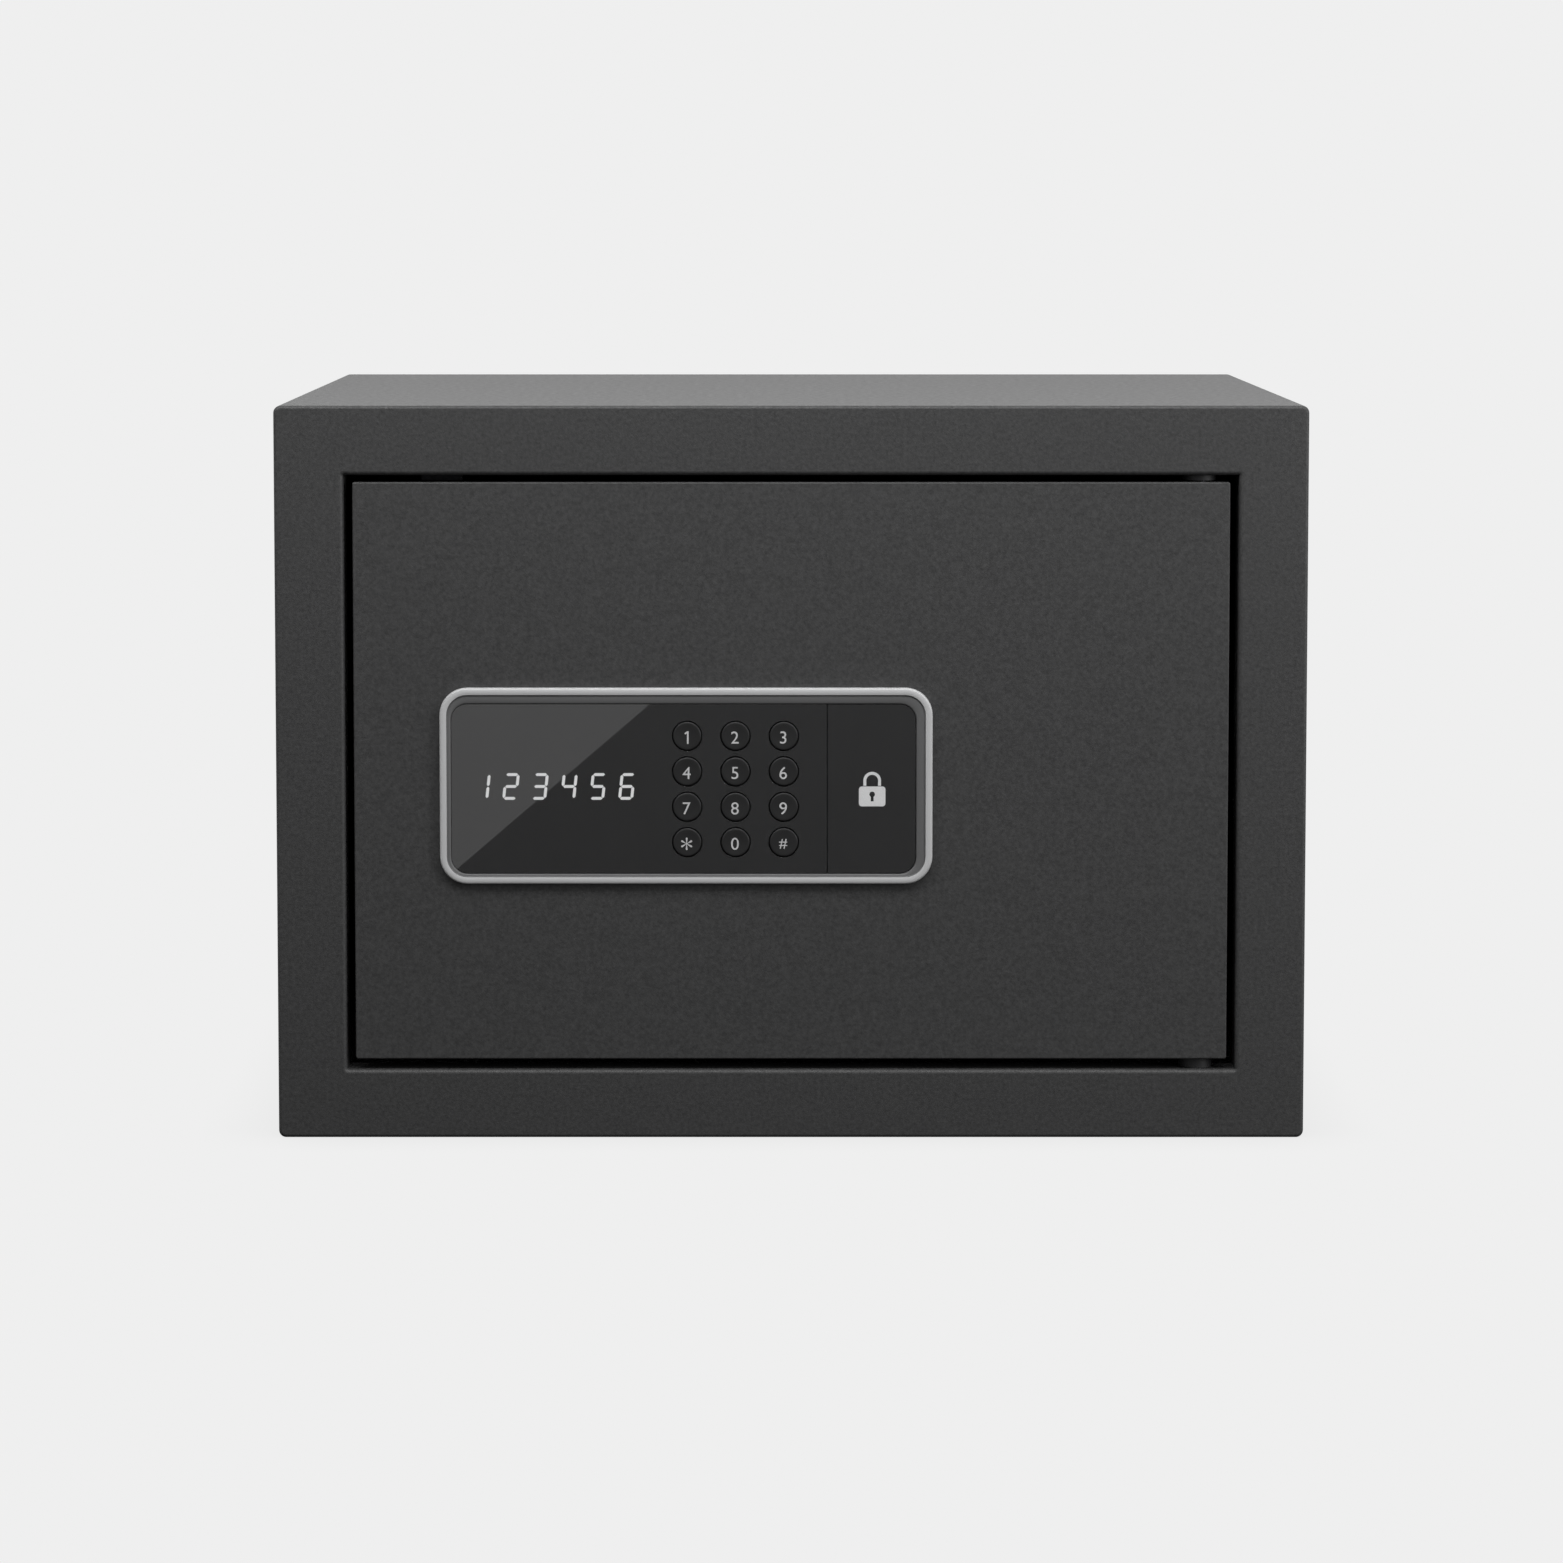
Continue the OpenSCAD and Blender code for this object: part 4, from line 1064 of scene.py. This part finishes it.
def coil(name, base, reach):
    """Conical wire spring along X from its base."""
    wire, turns, steps = 0.3 * MM, 3, 28
    wide, narrow = 3.3 * MM, 2.0 * MM
    start, end = math.copysign(wire, reach), reach - math.copysign(wire, reach)
    points = []
    for i in range(turns * steps + 1):
        u = i / (turns * steps)
        radius = wide + (narrow - wide) * u
        a = math.tau * turns * u
        climb = min(max((u - 0.12) / 0.76, 0), 1)
        x = base[0] + start + (end - start) * climb
        points.append((x, base[1] + radius * math.cos(a), base[2] + radius * math.sin(a)))
    return tube(name, points, wire)


# ---------- CAD parts that keep their shape ----------

# Width of the rounded edges in millimetres; the two leads keep their plain tubes
SOFT_EDGES = {
    "back_panel": 0.35, "hinge_brackets": 0.4, "hinge_bushes": 0.2, "hinge_blocks": 0.5, "hinge_pins": 0.3,
    "panel_housing": 0.2, "panel_lens": 0.08, "override_cover": 0.08, "key_mat": 0.4, "panel_pcb": 0.12,
    "display_module": 0.2, "buzzer": 0.3, "panel_nuts": 0.2, "lock_barrel": 0.25, "lock_nut": 0.3,
    "lock_plug": 0.15, "lock_cam": 0.25, "cam_screw": 0.3, "bolt_guide": 0.3, "carriage_posts": 0.25,
    "carriage_clips": 0.1, "bolt_carriage": 0.2, "locking_bolts": 0.25, "bolt_rivets": 0.3, "gearbox": 0.5,
    "gearbox_screws": 0.2, "motor": 0.4, "drive_pinion": 0.08, "position_sensor": 0.3, "cover_posts": 0.3,
    "battery_holder": 0.35, "battery_lid": 0.25, "reset_switch": 0.15, "reset_button": 0.3,
}


def dress_cad_parts():
    """Every CAD node that still shows: the finish of its own slot, and rounded edges where listed."""
    for name, node in NODES.items():
        if node.hide_render:
            continue
        slot = node.data.materials[0].name
        node.data.materials.clear()
        node.data.materials.append(FINISH[slot])
        if name in SOFT_EDGES:
            soften(node, SOFT_EDGES[name] * MM)


# ---------- camera, light and floor ----------

CAMERA_PLACE = Vector((-0.0062, -1.942, 0.3238))
CAMERA_TILT = 5.063           # degrees below the horizon
CAMERA_LENS = 122.26
CAMERA_SHIFT = (0.0055, -0.08)
BACKDROP = 0.863              # brightness of the floor and backdrop
SHEEN_RADIANCE = 1.0          # brightness of the soft box that the glass reflects
DOORWAY_SIZE = (0.24, 0.16)
DOORWAY_ENERGY = 0.4


def make_camera():
    """The photograph's view, as a tilt with a small lens shift."""
    data = bpy.data.cameras.new("camera")
    data.lens = CAMERA_LENS
    data.sensor_width = 36
    data.shift_x, data.shift_y = CAMERA_SHIFT
    data.clip_start = 0.05
    data.clip_end = 200
    camera = linked("camera", data)
    camera.location = CAMERA_PLACE
    camera.rotation_euler = (math.radians(90 - CAMERA_TILT), 0, 0)
    bpy.context.scene.camera = camera


def area_light(name, place_at, aim_at, size, energy):
    """A soft box aimed at a point, and not seen by the camera itself."""
    data = bpy.data.lights.new(name, "AREA")
    data.shape = "RECTANGLE"
    data.size, data.size_y = size
    data.energy = energy
    lamp = linked(name, data)
    lamp.location = place_at
    lamp.rotation_euler = (Vector(aim_at) - Vector(place_at)).to_track_quat("-Z", "Y").to_euler()
    lamp.visible_camera = False
    return lamp


def mirrored(point, depth):
    """Where the camera's line of sight, mirrored in the glass at point, meets the plane y = depth."""
    ray = point - CAMERA_PLACE
    share = (depth - point.y) / -ray.y
    return Vector((point.x + ray.x * share, depth, point.z + ray.z * share))


def sheen_light():
    """A soft box for the glass alone, whose straight edge it reflects as its slanting light area."""
    depth = -0.65
    top_share = 0.428
    corner = Vector((LENS_LOW.x, GLASS_Y, LENS_LOW.z))
    top = Vector((LENS_LOW.x + (COVER_HIGH.x - LENS_LOW.x) * top_share, GLASS_Y, LENS_HIGH.z))
    a, b = mirrored(corner, depth), mirrored(top, depth)
    along = (b - a).normalized()
    outward = Vector((-along.z, 0, along.x))
    length, width = 0.34, 0.14
    centre = (a + b) / 2 + outward * (width / 2)
    lamp = area_light("sheen_light", centre, centre + Vector((0, 1, 0)), (length, width), 1.0)
    axes = Matrix((along, outward, along.cross(outward))).transposed().to_4x4()
    lamp.matrix_world = Matrix.Translation(centre) @ axes
    lamp.data.energy = SHEEN_RADIANCE * math.pi * length * width
    lamp.visible_diffuse = False
    receivers = bpy.data.collections.new("glass_pieces")
    for name in ("panel_lens", "override_cover"):
        receivers.objects.link(NODES[name])
    lamp.light_linking.receiver_collection = receivers


def doorway_light():
    """Fixed light into the cabin, for open-door poses; it lies inside the closed cover's sheet."""
    low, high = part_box("door_back_cover")
    sheet_middle = Vector(((low.x + high.x) / 2, high.y - COVER_SHEET / 2, (low.z + high.z) / 2))
    cabin = sheet_middle + Vector((0, 1, 0))
    lamp = area_light("doorway_light", sheet_middle, cabin, DOORWAY_SIZE, DOORWAY_ENERGY)
    lamp.visible_glossy = False


def make_lights():
    """Key light above, side light on the right, and the two lights with one job each."""
    area_light("key_light", (-0.05, -0.50, 0.72), (-0.05, -0.15, 0.15), (1.3, 0.25), 6.1)
    area_light("side_light", (1.0, -0.72, 0.40), (0.17, -0.15, 0.18), (0.25, 0.6), 4.6)
    sheen_light()
    doorway_light()


def make_world():
    """Even backdrop for the camera; softer and darker in front for reflections."""
    world = bpy.data.worlds.new("studio")
    bpy.context.scene.world = world
    world.use_nodes = True
    tree = world.node_tree
    tree.nodes.clear()
    out = tree.nodes.new("ShaderNodeOutputWorld")
    coordinates = tree.nodes.new("ShaderNodeTexCoord").outputs["Generated"]
    parts = tree.nodes.new("ShaderNodeSeparateXYZ")
    tree.links.new(coordinates, parts.inputs[0])
    depth = map_range(tree, parts.outputs["Y"], (-0.5, 0.9), (0.34, 1.3))
    height = map_range(tree, parts.outputs["Z"], (-0.4, 0.15), (0.08, 1.0))
    light = tree.nodes.new("ShaderNodeMath")
    light.operation = "MULTIPLY"
    tree.links.new(depth, light.inputs[0])
    tree.links.new(height, light.inputs[1])
    studio = tree.nodes.new("ShaderNodeBackground")
    tree.links.new(light.outputs[0], studio.inputs["Strength"])
    backdrop = tree.nodes.new("ShaderNodeBackground")
    backdrop.inputs["Strength"].default_value = BACKDROP
    for node in (studio, backdrop):
        node.inputs["Color"].default_value = (1, 1, 1, 1)
    seen = tree.nodes.new("ShaderNodeLightPath").outputs["Is Camera Ray"]
    chosen = tree.nodes.new("ShaderNodeMixShader")
    tree.links.new(seen, chosen.inputs[0])
    tree.links.new(studio.outputs[0], chosen.inputs[1])
    tree.links.new(backdrop.outputs[0], chosen.inputs[2])
    tree.links.new(chosen.outputs[0], out.inputs["Surface"])


def map_range(tree, value, source, target):
    """Smooth map of a socket from one range to another."""
    made = tree.nodes.new("ShaderNodeMapRange")
    made.interpolation_type = "SMOOTHSTEP"
    made.inputs["From Min"].default_value, made.inputs["From Max"].default_value = source
    made.inputs["To Min"].default_value, made.inputs["To Max"].default_value = target
    tree.links.new(value, made.inputs["Value"])
    return made.outputs["Result"]


def make_floor():
    """Pale floor that blends into the backdrop, with a trace of contact shadow."""
    radius, sides = 40, 96
    turns = [math.tau * k / sides for k in range(sides)]
    points = [(radius * math.cos(a), radius * math.sin(a), 0) for a in turns]
    floor = build("studio_floor", (points, [tuple(range(sides))]))
    material = bpy.data.materials.new("floor_finish")
    material.use_nodes = True
    tree = material.node_tree
    tree.nodes.clear()
    shadow = tree.nodes.new("ShaderNodeAmbientOcclusion")
    shadow.samples = 8
    shadow.inputs["Distance"].default_value = 0.03
    level = tree.nodes.new("ShaderNodeMapRange")
    level.inputs["To Min"].default_value = BACKDROP * 0.90
    level.inputs["To Max"].default_value = BACKDROP
    tree.links.new(shadow.outputs["AO"], level.inputs["Value"])
    glow = tree.nodes.new("ShaderNodeEmission")
    tree.links.new(level.outputs["Result"], glow.inputs["Strength"])
    out = tree.nodes.new("ShaderNodeOutputMaterial")
    tree.links.new(glow.outputs[0], out.inputs["Surface"])
    floor.data.materials.append(material)
    floor.visible_diffuse = False
    floor.visible_glossy = False
    floor.visible_shadow = False


# ---------- the scene ----------

make_camera()
make_world()
make_lights()
make_floor()
shell = body_shell()
floor_mat()
kick_spring()
door_plate()
bezel()
for node_name, printed_character in KEYS.items():
    key_cap(node_name, printed_character)
display_digits()
padlock_mark()
back_cover()
cover_screws()
battery_cells()
battery_contacts()
dress_cad_parts()
bpy.context.scene.view_settings.view_transform = "Standard"
